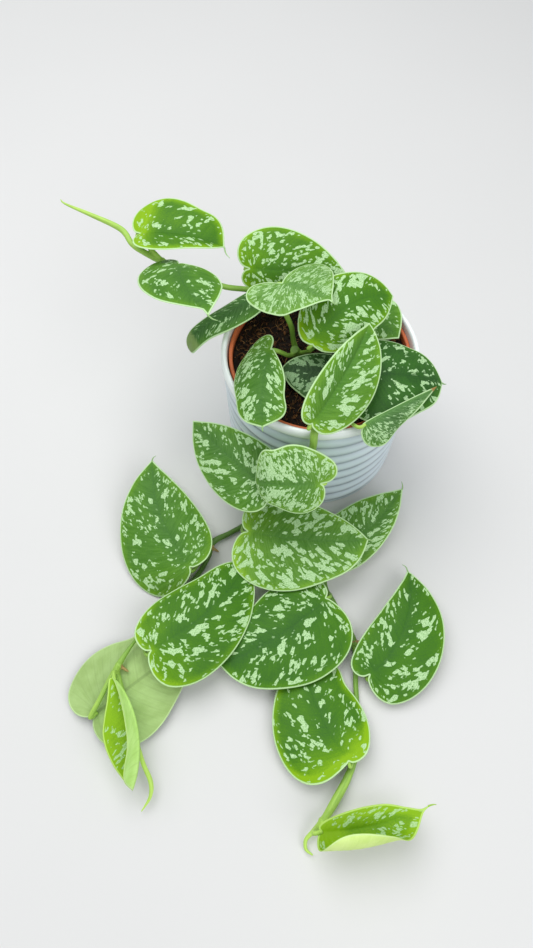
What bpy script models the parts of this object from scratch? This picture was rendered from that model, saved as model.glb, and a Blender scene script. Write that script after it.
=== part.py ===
"""Potted satin pothos with two trailing vines and one free vine, in a ribbed ceramic cover pot.

The origin is the centre of the cover pot's base on the table, with +Z up.
The trailing vines run towards -Y. Tables are in millimetres and degrees.
"""
import math

import bpy
from mathutils import Vector, noise

MM = 0.001
GAP = 0.3

# Cover pot
POT_RIM_RADIUS = 65.0
POT_HEIGHT = 106.0
POT_RIM_DEPTH = 9.0
POT_BASE_RADIUS = 61.0
POT_WALL = 4.2
POT_FLOOR = 5.0
POT_RIBS = 8
POT_RIB_DEPTH = 1.1
POT_FOOT_RADIUS = 57.0
POT_SEGMENTS = 48
POT_BODY_INSET = 1.0
POT_FIRST_RIB = 4.0
POT_INNER_CORNER = 3.0
# Foot as inset from the base radius and height, one rib as share of its height and bulge,
# rim as inset from the rim radius and drop below the top.
FOOT_PROFILE = [(1.2, 0.8), (0.4, 2.5)]
RIB_PROFILE = [(0.0, 0.0), (0.3, 0.9), (0.7, 0.9)]
RIM_PROFILE = [(0.5, 7.0), (0.0, 4.5), (0.3, 2.0), (1.2, 0.5), (2.2, 0.0), (3.3, 0.5), (4.2, 1.6)]

# Nursery pot
NURSERY_TOP_RADIUS = 59.8
NURSERY_BASE_RADIUS = 50.0
NURSERY_TOP = 101.5
NURSERY_WALL = 1.2
NURSERY_LIP = 1.2
NURSERY_LIP_HEIGHT = 6.0
NURSERY_SEGMENTS = 44
NURSERY_CORNER = 1.5
NURSERY_ROUNDING = 0.6
DRAIN_RADIUS = 4.0
DRAIN_RING = 30.0
DRAIN_COUNT = 5
DRAIN_SIDES = 10
DRAIN_CUT = 3.0

# Soil
SOIL_TOP = 96.5
SOIL_RINGS = 7
SOIL_SEGMENTS = 36
SOIL_ROUGHNESS = 1.3
SOIL_INSET = 0.4
SOIL_CORNER = 3.0
SOIL_SHOULDER = 1.0
SOIL_LUMPS = 0.12
SOIL_SEED = 7.0
HOLE_CLEARANCE = 0.3
HOLE_SIDES = 12
HOLE_CUT = 8.0

# Leaves
LEAF_THICKNESS = 0.8
LEAF_STATIONS = 13
LEAF_STRIPS = 3
TIP_FULLNESS = 0.24
TIP_PLACE = 0.88
TIP_SPREAD = 0.16
OPENING_START = 0.6
EDGE_WAVE = 0.6
EDGE_WAVE_RATE = 8.2
EDGE_WAVE_SHIFT = 2.0
VEIN_SWEEP = 0.14
VEIN_CURVE = (0.35, 0.55)
LEAF_COLOUR = (0.09, 0.24, 0.06)
LEAF_TINT = 0.04
LEAF_TINT_STEP = 3.7
LEAF_SHEEN = 0.4
CURVE_STEPS = 60

# Stems
STEM_SIDES = 8
PETIOLE_SIDES = 6
STEM_STEP = 6.0
STEM_TIP_RADIUS = 0.25
STALK_TURN = 4.0
STALK_DROP = 1.5
STALK_END = 0.7

# One side of a blade from the notch round the lobe to the tip: shares of the length
# towards the tip, of the lobe away from it and of the half width.
BLADE_OUTLINE = [
    (0.0, 0.0, 0.0), (0.0, 0.55, 0.07), (0.0, 0.92, 0.24), (0.005, 1.0, 0.46), (0.03, 0.87, 0.67),
    (0.075, 0.5, 0.84), (0.155, 0.15, 0.96), (0.28, 0.0, 1.0), (0.45, 0.0, 0.94), (0.64, 0.0, 0.75),
    (0.81, 0.0, 0.45), (0.92, 0.0, 0.19), (1.0, 0.0, 0.0),
]

# Each blade: base, tip, facing, half widths left and right, lobes left and right, then
# arch (how far it droops), late (how near the tip it droops), bend (in its own plane),
# and for the left and right half fold, curl, blunt (towards the tip) and slim (towards
# the base). A folded or rolled blade opens towards its tip by the share given as opening.
LEAVES = {
    "leaf_01": dict(base=(-115, 53, 152), tip=(-62, 44, 150), face=(0, -0.3, 0.95), width=(27, 20),
                    lobes=(7, 1), arch=40, bend=14, fold=(0, 45), curl=(20, 30), blunt=(1.1, 0.5)),
    "leaf_02": dict(base=(-88.5, 27, 153), tip=(-67, -29, 171), face=(-0.1, 0.15, 1), width=(30, 24),
                    lobes=(0, 13), arch=30, bend=-30, fold=(0, 8), curl=(30, 12), blunt=(0.2, -0.9),
                    slim=(0.9, -0.1)),
    "leaf_03": dict(base=(-47, 48, 128), tip=(19, 44, 124), face=(0, -0.6, 0.8), width=(27, 16),
                    lobes=(9, 5), arch=30, bend=4, curl=(25, 25), slim=(-0.15, 0)),
    "leaf_04": dict(base=(-26, 15, 150), tip=(4, 0, 150), face=(0.1, 0.1, 1), width=(42, 16),
                    lobes=(1, 19), arch=30, curl=(25, 25), blunt=(-0.3, -0.8), slim=(0.42, -0.7)),
    "leaf_05": dict(base=(-7, -14, 128), tip=(44, 20, 134), face=(0, -0.4, 0.9), width=(30, 27),
                    lobes=(1, 1), arch=50, bend=55, curl=(25, 25), blunt=(0.7, 0.8), slim=(0.52, 0.35)),
    "leaf_06": dict(base=(-41, 38, 115), tip=(-86, 8, 92), face=(-0.3, 0, 1), width=(13, 8),
                    lobes=(3, 2), arch=110, late=4, bend=20, curl=(30, 20), blunt=(1.1, 2.0),
                    slim=(0, -0.3)),
    "leaf_07": dict(base=(-32, -10, 118), tip=(-37, -65, 114), face=(-0.2, -0.4, 0.85), width=(19.5, 23.5),
                    lobes=(1, 20), arch=50, bend=-12, curl=(35, 45), blunt=(1.7, 1.2), slim=(0.9, 0)),
    "leaf_08": dict(base=(12, -22.5, 108), tip=(-25, -13.5, 104), face=(0, -0.3, 0.9), width=(20, 14),
                    lobes=(3, 2), arch=25, curl=(12, 20), blunt=(0.5, 0.5)),
    "leaf_09": dict(base=(-8, -66, 120), tip=(27, -5, 138), face=(0.2, -0.2, 0.95), width=(14.5, 27),
                    lobes=(2, 2), arch=35, bend=-12, fold=(30, 0), curl=(25, 25), blunt=(0, 0.3),
                    slim=(0.1, 0.4)),
    "leaf_10": dict(base=(21, -29, 114), tip=(76, -26, 106), face=(0.15, -0.05, 1), width=(30, 33),
                    lobes=(8, 8), arch=60, curl=(20, 12), blunt=(1.0, 0.6)),
    "leaf_11": dict(base=(23.4, -64.6, 117.4), tip=(70.4, -33, 112.4), face=(0.3, -0.5, 0.8),
                    width=(2.5, 4.1), lobes=(1, 5), arch=68, bend=8, fold=(-40, 0), curl=(25, 6),
                    slim=(0, -4.5)),
    "leaf_12": dict(base=(28, 31, 108), tip=(51, 8, 108), face=(0.2, -0.3, 0.9), width=(22, 18),
                    lobes=(6, 6), arch=30, curl=(20, 20)),
    "leaf_13": dict(base=(-33, -84, 72), tip=(-85, -28, 62), face=(-0.3, -0.3, 0.9), width=(25.5, 20),
                    lobes=(5, 4), arch=30, bend=8, curl=(25, 25), slim=(0, -0.15)),
    "leaf_14": dict(base=(-1, -90, 90), tip=(-41, -84, 82), face=(0, -0.7, 0.7), width=(20, 28.5),
                    lobes=(3, 10), arch=80, late=2, bend=-6, curl=(20, 12), blunt=(0.9, 1.4),
                    slim=(0, 0.3)),
    "leaf_15": dict(base=(-86, -116, 14.5), tip=(-117, -39, 26), face=(-0.1, -0.1, 1), width=(34, 27),
                    lobes=(7, 3), arch=25, bend=36, curl=(24, 25), slim=(-0.25, 0)),
    "leaf_16": dict(base=(-47, -95, 28), tip=(35, -101, 30), face=(0, -0.1, 1), width=(31, 36),
                    lobes=(7, 7), arch=20, bend=-24, curl=(15, 25), blunt=(0.3, 0.6), slim=(-0.1, 0)),
    "leaf_17": dict(base=(13, -108, 10), tip=(63, -58, 22), face=(0, -0.1, 1), width=(25, 15),
                    lobes=(8, 4), arch=20, bend=-20, curl=(20, 20)),
    "leaf_18": dict(base=(-106, -177, 28), tip=(-45, -111, 13), face=(0, -0.1, 1), width=(28, 31),
                    lobes=(5.5, 5), arch=30, bend=-34, curl=(25, 25), blunt=(0.8, 0), slim=(0, -0.1)),
    "leaf_19": dict(base=(6, -139, 20), tip=(-64, -181, 12), face=(0, 0, 1), width=(40, 31),
                    lobes=(2, 7), arch=20, bend=30, curl=(20, 20), blunt=(0.5, 0), slim=(0.12, 0)),
    "leaf_20": dict(base=(33, -187, 12), tip=(63, -117, 14), face=(0, 0, 1), width=(21, 31),
                    lobes=(7, 5), arch=30, bend=-60, curl=(20, 20)),
    "leaf_21": dict(base=(17, -239, 14), tip=(-8, -173, 5), face=(0, 0, 1), width=(34, 29.5),
                    lobes=(1, 4), arch=25, bend=36, curl=(20, 20), blunt=(0.3, 1.4), slim=(0, 0.2)),
    "leaf_22": dict(base=(-140, -212, 8), tip=(-86, -168, 5), face=(0, 0, -1), width=(32, 34),
                    lobes=(7, 11), arch=-20, curl=(-15, -15), blunt=(0.5, 2.0)),
    "leaf_23": dict(base=(-128, -193, 21.5), tip=(-111, -256.5, 18), face=(0, 0, 1), width=(18, 29),
                    lobes=(2, 2), arch=20, bend=62, fold=(122, 10), curl=(20, 25), blunt=(2.2, 0.4),
                    slim=(0.9, 0.8)),
    "leaf_24": dict(base=(-1, -277, 17), tip=(62, -263, 20.5), face=(0, 0, 1), width=(13, 28),
                    lobes=(1, 3), arch=-15, bend=-22, fold=(10, 0), curl=(20, -160), blunt=(-0.8, -0.5),
                    slim=(0.5, -0.05), opening=1),
}

# Vines and pot stems as x, y, z and radius along the path.
VINE_FREE = [
    (-22, 40, 82, 2.2), (-22, 40, 98, 2.2), (-25, 37, 108, 2.1), (-31, 33, 117, 2.0), (-38, 30, 124, 1.9),
    (-47, 29, 129, 1.8), (-63, 27, 134, 1.8), (-82, 32.5, 138.5, 1.9), (-100, 38, 143, 2.1),
    (-112, 43, 146, 1.9), (-120, 48, 148, 1.8), (-128, 59, 150, 1.9), (-147, 66, 155, 1.4),
    (-163, 72, 158, 0.7), (-166, 74, 160, 0.3),
]
VINE_LEFT = [
    (-4, -46, 82, 2.5), (-4, -46, 90, 2.5), (-4, -46, 98, 2.5), (-4, -49, 105, 2.5),
    (-4.5, -55, 109.5, 2.5), (-5, -61, 111, 2.5), (-6, -67, 109, 2.5), (-6, -69, 102, 2.4),
    (-6.5, -68.5, 92, 2.3), (-8, -67.5, 76, 2.2), (-11, -66, 58, 2.2), (-16, -64.5, 42, 2.1),
    (-20, -63.5, 28, 2.0), (-27, -64, 14, 2.0), (-38, -70, 5, 2.0), (-50, -79, 2.8, 1.9),
    (-61, -86, 2.8, 1.9), (-72, -93, 3.2, 2.3), (-75, -104, 2.4, 1.8), (-81, -116, 2.2, 1.6),
    (-92, -131, 2.2, 1.5), (-105, -147, 3.5, 1.3), (-112, -157, 9, 1.1), (-119, -167, 13.5, 1.1),
    (-128, -184, 14.5, 2.0), (-126, -193, 14.5, 1.6), (-120, -207, 14, 1.3), (-113, -226, 14, 1.3),
    (-107, -241, 13, 1.4), (-102, -251, 10, 1.5), (-102, -259, 7, 1.1), (-107, -267, 4, 0.4),
]
VINE_RIGHT = [
    (-13, -66.5, 43, 1.4), (-11, -67, 36, 1.9), (-9, -66.5, 26, 1.9), (-4, -70, 12, 1.9), (0, -82, 4, 1.9),
    (3, -100, 2.4, 1.9), (6, -118, 2.4, 1.9),
    (8, -128, 2.6, 1.8), (12, -135, 2.4, 1.8), (19, -149, 2.4, 1.8), (25, -163, 2.8, 2.4),
    (26, -175, 2.4, 1.7), (25, -190, 2.4, 1.7), (25, -210, 2.8, 1.8), (23, -232, 4, 1.9),
    (17, -247, 5, 2.5), (9, -260, 5.5, 2.7), (2, -270, 5.5, 2.2), (-5, -277, 4.5, 1.5),
    (-9, -281, 3.6, 1.2), (-9, -286, 3, 1.0), (-5, -289, 2.6, 0.5),
]
STEM_CENTRE = [
    (-15, 2, 82, 3.2), (-15, 2, 94, 3.2), (-15, 1.5, 99, 3.2), (-17, 0.5, 105, 3.0),
]
STEM_RIGHT = [
    (18, -12, 82, 2.4), (18, -12, 94, 2.4), (18, -12, 99.5, 2.6), (18.5, -12.5, 104, 1.6),
]

# Leaf stalks: stem, where the stalk leaves it, points on the way, radius, and whether it
# meets the blade from below or from behind.
STALKS = {
    "leaf_01": ("vine_free", (-101, 38.5, 143.2), [(-108, 44, 148)], 1.4, "below"),
    "leaf_02": ("vine_free", (-96, 36.8, 142), [(-93, 33.5, 146)], 1.3, "below"),
    "leaf_03": ("vine_free", (-26, 36.5, 109), [(-34, 42, 116), (-42, 48, 123)], 1.4, "below"),
    "leaf_06": ("vine_free", (-23, 39, 102), [(-30, 41, 107)], 1.2, "below"),
    "leaf_04": (
        "stem_centre", (-15.5, 3.2, 99), [(-18, 7.5, 108), (-19.5, 6, 121), (-25, 7, 137)], 1.7, "below",
    ),
    "leaf_05": ("stem_centre", (-14, 1, 100), [(-9, -3, 107), (-6, -8, 117)], 1.4, "below"),
    "leaf_07": (
        "stem_centre", (-16, 0.5, 99.5), [(-21, -4.5, 105), (-24, -7, 110), (-28, -9, 115)], 1.5, "below",
    ),
    "leaf_08": ("stem_right", (18, -13, 98.8), [(17, -19, 103)], 1.2, "below"),
    "leaf_10": ("stem_right", (18.3, -12.6, 101), [(19.5, -18, 108)], 1.5, "below"),
    "leaf_12": ("stem_right", (18, -11.5, 99), [(21, -2, 101), (25, 14, 102)], 1.3, "below"),
    "leaf_09": ("vine_left", (-4.3, -53, 108.5), [(-6, -59, 116)], 1.4, "below"),
    "leaf_11": ("vine_left", (-4, -47, 101), [(4, -50, 105), (13, -57, 111)], 1.2, "behind"),
    "leaf_14": ("vine_left", (-6.4, -68.7, 95), [(-4, -75, 89)], 1.3, "below"),
    "leaf_13": ("vine_left", (-9.5, -66.7, 67), [(-18, -74, 65)], 1.3, "below"),
    "leaf_16": ("vine_left", (-43, -74, 3.7), [(-50, -85, 14)], 1.4, "below"),
    "leaf_15": ("vine_left", (-74, -99, 2.7), [(-80, -109, 7)], 1.3, "below"),
    "leaf_18": ("vine_left", (-111, -155.5, 8), [(-113, -168, 17)], 1.3, "below"),
    "leaf_22": ("vine_left", (-128, -183, 14.5), [(-132, -192, 16), (-137, -204, 15)], 1.6, "below"),
    "leaf_23": ("vine_left", (-128, -184, 14.8), [(-128, -188, 18)], 1.4, "behind"),
    "leaf_17": ("vine_right", (4.5, -110, 2.6), [(8, -109, 5)], 1.2, "below"),
    "leaf_19": ("vine_right", (10, -131.5, 2.5), [(9, -134, 10)], 1.3, "below"),
    "leaf_20": ("vine_right", (25, -165, 2.8), [(29, -175, 5)], 1.3, "below"),
    "leaf_21": ("vine_right", (22.5, -234, 4.1), [(20, -237, 8.5)], 1.3, "below"),
    "leaf_24": ("vine_right", (0.5, -271.5, 5.3), [(-3, -275, 10)], 1.5, "behind"),
}


def clear_scene():
    for item in list(bpy.data.objects):
        bpy.data.objects.remove(item, do_unlink=True)


def make_material(name, colour, roughness, metallic=0.0):
    material = bpy.data.materials.new(name)
    material.use_nodes = True
    shader = material.node_tree.nodes["Principled BSDF"]
    shader.inputs["Base Color"].default_value = (*colour, 1.0)
    shader.inputs["Roughness"].default_value = roughness
    shader.inputs["Metallic"].default_value = metallic
    return material


def add_mesh(name, points, faces, material):
    """Add a mesh whose points are given in millimetres."""
    mesh = bpy.data.meshes.new(name)
    mesh.from_pydata([tuple(c * MM for c in point) for point in points], [], faces)
    mesh.validate()
    mesh.update()
    mesh.shade_smooth()
    item = bpy.data.objects.new(name, mesh)
    item.data.materials.append(material)
    bpy.context.scene.collection.objects.link(item)
    return item


def mark_helper(item):
    item.hide_render = True
    item.display_type = "WIRE"


def add_boolean(item, helper, operation):
    mark_helper(helper)
    modifier = item.modifiers.new(helper.name, "BOOLEAN")
    modifier.operation = operation
    modifier.solver = "EXACT"
    modifier.object = helper


def through_points(points, steps):
    """Smooth curve through the points, as tuples of the same length."""
    first = [2 * a - b for a, b in zip(points[0], points[1])]
    last = [2 * a - b for a, b in zip(points[-1], points[-2])]
    padded = [first, *points, last]
    result = []
    for k in range(steps):
        place = k / (steps - 1) * (len(points) - 1)
        i = min(int(place), len(points) - 2)
        t = place - i
        p0, p1, p2, p3 = padded[i:i + 4]
        result.append(tuple(
            b + 0.5 * t * (c - a + t * (2 * a - 5 * b + 4 * c - d + t * (3 * b - a - 3 * c + d)))
            for a, b, c, d in zip(p0, p1, p2, p3)
        ))
    return result


def lathe(name, profile, segments, material):
    """Solid of revolution from a closed profile whose first and last points are on the axis."""
    points = [(0, 0, profile[0][1])]
    rows = []
    for radius, height in profile[1:-1]:
        rows.append(len(points))
        for k in range(segments):
            angle = 2 * math.pi * k / segments
            points.append((radius * math.cos(angle), radius * math.sin(angle), height))
    end = len(points)
    points.append((0, 0, profile[-1][1]))
    faces = []
    for k in range(segments):
        k2 = (k + 1) % segments
        faces.append((0, rows[0] + k2, rows[0] + k))
        faces.append((end, rows[-1] + k, rows[-1] + k2))
        for a, b in zip(rows, rows[1:]):
            faces.append((a + k, a + k2, b + k2, b + k))
    return add_mesh(name, points, faces, material)


class Blade:
    """A heart-shaped leaf blade: maps length along the midrib and distance from it to space."""

    def __init__(self, base, tip, face, width, lobes, arch=20, late=1, bend=0, fold=(0, 0),
                 curl=(20, 20), blunt=(0, 0), slim=(0, 0), opening=0):
        self.base = Vector(base)
        chord = Vector(tip) - self.base
        self.along = chord.normalized()
        facing = Vector(face)
        self.normal = (facing - facing.dot(self.along) * self.along).normalized()
        self.left = self.normal.cross(self.along)
        self.width = width
        self.lobes = lobes
        self.fold = [math.radians(v) for v in fold]
        self.curl = [math.radians(v) for v in curl]
        self.blunt = blunt
        self.slim = slim
        self.opening = opening
        self.bend = math.radians(bend) if bend else 0.001
        self.arch = math.radians(arch)
        self.late = late
        xs = [0.0]
        zs = [0.0]
        for k in range(CURVE_STEPS):
            turn = -self.arch * ((k + 0.5) / CURVE_STEPS) ** late
            xs.append(xs[-1] + math.cos(turn) / CURVE_STEPS)
            zs.append(zs[-1] + math.sin(turn) / CURVE_STEPS)
        self.start = -math.atan2(zs[-1], xs[-1])
        self.flat = chord.length / math.hypot(xs[-1], zs[-1])
        cosine = math.cos(self.start)
        sine = math.sin(self.start)
        self.rib_x = [(cosine * x - sine * z) * self.flat for x, z in zip(xs, zs)]
        self.rib_z = [(sine * x + cosine * z) * self.flat for x, z in zip(xs, zs)]
        half = self.bend / 2
        self.length = self.flat * half / math.sin(half)

    def outline(self, side, steps):
        points = []
        for share, lobe, y in BLADE_OUTLINE:
            if share < 1:
                y += self.blunt[side] * TIP_FULLNESS * math.exp(-((share - TIP_PLACE) / TIP_SPREAD) ** 2)
            y *= 1 - self.slim[side] * (1 - share) ** 2
            points.append((share * self.length - lobe * self.lobes[side], y * self.width[side]))
        return [(x, max(0.0, y)) for x, y in through_points(points, steps)]

    def rib(self, share):
        place = share * CURVE_STEPS
        i = min(int(place), CURVE_STEPS - 1)
        t = place - i
        x = self.rib_x[i] * (1 - t) + self.rib_x[i + 1] * t
        z = self.rib_z[i] * (1 - t) + self.rib_z[i + 1] * t
        return x, z

    def point(self, x, y, side):
        """Point at x along the midrib and y away from it, on side 0 (left) or 1 (right)."""
        share = min(1.0, max(0.0, x / self.length))
        late = max(0.0, share - OPENING_START) / (1 - OPENING_START)
        rolled = 1 - self.opening * late * late * (3 - 2 * late)
        fold = rolled * self.fold[side]
        rate = rolled * self.curl[side] / self.width[side]
        angle = fold - rate * y
        if abs(rate) > 1e-6:
            out = (math.sin(fold) - math.sin(angle)) / rate
            lift = (math.cos(angle) - math.cos(fold)) / rate
        else:
            out = y * math.cos(fold)
            lift = y * math.sin(fold)
        wave = math.sin(EDGE_WAVE_RATE * share + EDGE_WAVE_SHIFT * side) * math.sin(math.pi * share)
        lift += EDGE_WAVE * wave * (y / self.width[side]) ** 2
        sign = 1 if side == 0 else -1
        half = self.bend / 2
        turn = half - self.bend * share
        radius = self.length / self.bend
        back = min(0.0, x)
        flat_x = radius * (math.sin(half) - math.sin(turn)) + back * math.cos(half)
        flat_y = radius * (math.cos(turn) - math.cos(half)) + back * math.sin(half)
        flat_x -= math.sin(turn) * out * sign
        flat_y += math.cos(turn) * out * sign
        u = flat_x / self.flat
        inside = min(1.0, max(0.0, u))
        slope = self.start - self.arch * inside ** self.late
        rib_x, rib_z = self.rib(inside)
        rib_x += math.cos(slope) * (u - inside) * self.flat
        rib_z += math.sin(slope) * (u - inside) * self.flat
        up = self.normal * math.cos(slope) - self.along * math.sin(slope)
        return self.base + self.along * rib_x + self.normal * rib_z + self.left * flat_y + up * lift

    def sheet(self):
        """Middle surface as points and triangles wound to face the upper side."""
        shares = [min(1.0, max(0.0, row[0])) for row in through_points(BLADE_OUTLINE, LEAF_STATIONS)]
        points = []
        lookup = {}
        triangles = []
        rims = []

        def index(x, y, side):
            place = self.point(x, y, side)
            key = tuple(round(c, 4) for c in place)
            if key not in lookup:
                lookup[key] = len(points)
                points.append(place)
            return lookup[key]

        for side in (0, 1):
            rows = []
            for (edge_x, edge_y), share in zip(self.outline(side, LEAF_STATIONS), shares):
                root = max(0.0, share - VEIN_SWEEP * math.sin(math.pi * share)) * self.length
                mid_x = root + VEIN_CURVE[0] * (edge_x - root)
                row = []
                for j in range(LEAF_STRIPS + 1):
                    v = j / LEAF_STRIPS
                    x = (1 - v) ** 2 * root + 2 * v * (1 - v) * mid_x + v * v * edge_x
                    y = 2 * v * (1 - v) * VEIN_CURVE[1] * edge_y + v * v * edge_y
                    row.append(index(x, y, side))
                rows.append(row)
            for low, high in zip(rows, rows[1:]):
                for j in range(LEAF_STRIPS):
                    quad = (low[j], high[j], high[j + 1], low[j + 1])
                    for triangle in ((quad[0], quad[1], quad[2]), (quad[0], quad[2], quad[3])):
                        if len(set(triangle)) == 3:
                            triangles.append(triangle if side == 0 else triangle[::-1])
            rim = []
            for row in rows:
                if not rim or row[-1] != rim[-1]:
                    rim.append(row[-1])
            rims.append(rim)
        loop = rims[1] + rims[0][-2:0:-1]
        return points, triangles, loop


def add_leaf(name, spec, material):
    points, triangles, loop = Blade(**spec).sheet()
    normals = [Vector() for _ in points]
    for a, b, c in triangles:
        normal = (points[b] - points[a]).cross(points[c] - points[a])
        for k in (a, b, c):
            normals[k] += normal
    count = len(points)
    solid = []
    for direction in (0.5, -0.5):
        for place, normal in zip(points, normals):
            solid.append(place + normal.normalized() * LEAF_THICKNESS * direction)
    faces = list(triangles)
    faces += [(a + count, c + count, b + count) for a, b, c in triangles]
    for a, b in zip(loop, loop[1:] + loop[:1]):
        faces.append((a, a + count, b + count))
        faces.append((a, b + count, b))
    return add_mesh(name, solid, faces, material)


def add_tube(name, path, sides, material):
    """Round tube through points of x, y, z and radius, closed at both ends."""
    length = sum((Vector(a[:3]) - Vector(b[:3])).length for a, b in zip(path, path[1:]))
    steps = max(4, round(length / STEM_STEP) + 1)
    rows = through_points(path, steps)
    centres = [Vector(row[:3]) for row in rows]
    side_way = None
    points = []
    for k, centre in enumerate(centres):
        way = (centres[min(k + 1, steps - 1)] - centres[max(k - 1, 0)]).normalized()
        if side_way is None:
            side_way = way.orthogonal()
        side_way = (side_way - side_way.dot(way) * way).normalized()
        other = way.cross(side_way)
        for j in range(sides):
            angle = 2 * math.pi * j / sides
            offset = side_way * math.cos(angle) + other * math.sin(angle)
            points.append(centre + offset * max(STEM_TIP_RADIUS, rows[k][3]))
    faces = []
    for k in range(steps - 1):
        for j in range(sides):
            a = k * sides + j
            b = k * sides + (j + 1) % sides
            faces.append((a, b, b + sides, a + sides))
    faces.append(tuple(range(sides))[::-1])
    faces.append(tuple((steps - 1) * sides + j for j in range(sides)))
    return add_mesh(name, points, faces, material)


def stalk_path(leaf):
    """Path of a leaf stalk, ending just clear of the blade's base."""
    _, start, points, radius, meeting = STALKS[leaf]
    blade = Blade(**LEAVES[leaf])
    heading = blade.along * math.cos(blade.start) + blade.normal * math.sin(blade.start)
    up = blade.normal * math.cos(blade.start) - blade.along * math.sin(blade.start)
    end_radius = STALK_END * radius
    if meeting == "below":
        end = blade.base + heading * 0.5 - up * (LEAF_THICKNESS / 2 + GAP + end_radius + 0.2)
        before = end - heading * STALK_TURN - up * STALK_DROP
    else:
        end = blade.base - heading * (GAP + 0.9)
        before = end - heading * STALK_TURN
    path = [(*start, radius)]
    path += [(*point, radius) for point in points]
    path.append((*before, radius))
    path.append((*end, end_radius))
    return path


def cover_pot_profile():
    top = POT_HEIGHT
    below_rim = top - POT_RIM_DEPTH
    profile = [(0, 0), (POT_FOOT_RADIUS, 0)]
    profile += [(POT_BASE_RADIUS - inset, height) for inset, height in FOOT_PROFILE]
    body_top = POT_RIM_RADIUS - POT_BODY_INSET
    rib = (below_rim - POT_FIRST_RIB) / POT_RIBS
    for k in range(POT_RIBS):
        for share, bulge in RIB_PROFILE:
            height = POT_FIRST_RIB + rib * (k + share)
            wall = POT_BASE_RADIUS + (body_top - POT_BASE_RADIUS) * height / below_rim
            profile.append((wall + POT_RIB_DEPTH * (bulge - 1), height))
    profile.append((body_top - POT_RIB_DEPTH, below_rim))
    profile += [(POT_RIM_RADIUS - inset, top - drop) for inset, drop in RIM_PROFILE]
    inner = POT_BASE_RADIUS - POT_WALL
    profile += [
        (inner - 0.5, POT_FLOOR + POT_INNER_CORNER), (inner - POT_INNER_CORNER - 1.0, POT_FLOOR),
        (0, POT_FLOOR),
    ]
    return profile


def build_pots(ceramic, plastic):
    lathe("cover_pot", cover_pot_profile(), POT_SEGMENTS, ceramic)
    floor = POT_FLOOR + GAP
    lip_bottom = NURSERY_TOP - NURSERY_LIP_HEIGHT
    top = NURSERY_TOP_RADIUS
    inner_top = top - NURSERY_LIP - NURSERY_WALL
    base = NURSERY_BASE_RADIUS
    profile = [
        (0, floor), (base - NURSERY_CORNER, floor), (base, floor + NURSERY_CORNER),
        (top - NURSERY_LIP, lip_bottom), (top, lip_bottom + NURSERY_ROUNDING),
        (top, NURSERY_TOP - NURSERY_ROUNDING), (top - NURSERY_ROUNDING, NURSERY_TOP),
        (inner_top, NURSERY_TOP - NURSERY_ROUNDING / 2), (inner_top, lip_bottom),
        (base - NURSERY_WALL, floor + 2 * NURSERY_WALL), (base - 2 * NURSERY_WALL, floor + NURSERY_WALL),
        (0, floor + NURSERY_WALL),
    ]
    nursery = lathe("nursery_pot", profile, NURSERY_SEGMENTS, plastic)
    for k in range(DRAIN_COUNT):
        angle = 2 * math.pi * k / DRAIN_COUNT
        x = DRAIN_RING * math.cos(angle)
        y = DRAIN_RING * math.sin(angle)
        top_of_cut = floor + NURSERY_WALL + DRAIN_CUT
        path = [(x, y, z, DRAIN_RADIUS) for z in (floor - DRAIN_CUT, floor, top_of_cut)]
        add_boolean(nursery, add_tube(f"drain_cutter_{k}", path, DRAIN_SIDES, plastic), "DIFFERENCE")


def build_soil(material, stems):
    """Root ball filling the nursery pot, with a plain hole for each stem."""
    floor = POT_FLOOR + GAP + NURSERY_WALL + GAP
    lip_bottom = NURSERY_TOP - NURSERY_LIP_HEIGHT
    wall_low = NURSERY_BASE_RADIUS - NURSERY_WALL - GAP
    wall_high = NURSERY_TOP_RADIUS - NURSERY_LIP - NURSERY_WALL - GAP
    share = min(1.0, (SOIL_TOP - floor) / (lip_bottom - floor))
    edge = wall_low + (wall_high - wall_low) * share - SOIL_INSET
    points = [(0, 0, floor)]
    rows = []
    side = [
        (wall_low - SOIL_CORNER, floor), (wall_low - SOIL_INSET, floor + SOIL_CORNER),
        (edge, SOIL_TOP - SOIL_SHOULDER),
    ]
    for radius, height in side:
        rows.append(len(points))
        for k in range(SOIL_SEGMENTS):
            angle = 2 * math.pi * k / SOIL_SEGMENTS
            points.append((radius * math.cos(angle), radius * math.sin(angle), height))
    for ring in range(SOIL_RINGS, 0, -1):
        radius = (edge - SOIL_SHOULDER) * ring / (SOIL_RINGS + 0.5)
        rows.append(len(points))
        for k in range(SOIL_SEGMENTS):
            angle = 2 * math.pi * (k + 0.5 * (ring % 2)) / SOIL_SEGMENTS
            x = radius * math.cos(angle)
            y = radius * math.sin(angle)
            bump = noise.noise(Vector((x, y, SOIL_SEED)) * SOIL_LUMPS)
            points.append((x, y, SOIL_TOP + SOIL_ROUGHNESS * (bump + 0.5)))
    end = len(points)
    points.append((0, 0, SOIL_TOP + SOIL_ROUGHNESS))
    faces = []
    for k in range(SOIL_SEGMENTS):
        k2 = (k + 1) % SOIL_SEGMENTS
        faces.append((0, rows[0] + k2, rows[0] + k))
        faces.append((end, rows[-1] + k, rows[-1] + k2))
        for a, b in zip(rows, rows[1:]):
            faces.append((a + k, a + k2, b + k2))
            faces.append((a + k, b + k2, b + k))
    soil = add_mesh("soil", points, faces, material)
    for label, (x, y, low, radius) in stems.items():
        wide = radius + HOLE_CLEARANCE
        path = [(x, y, z, wide) for z in (low - GAP, SOIL_TOP, SOIL_TOP + HOLE_CUT)]
        add_boolean(soil, add_tube(f"{label}_hole_cutter", path, HOLE_SIDES, material), "DIFFERENCE")


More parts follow.
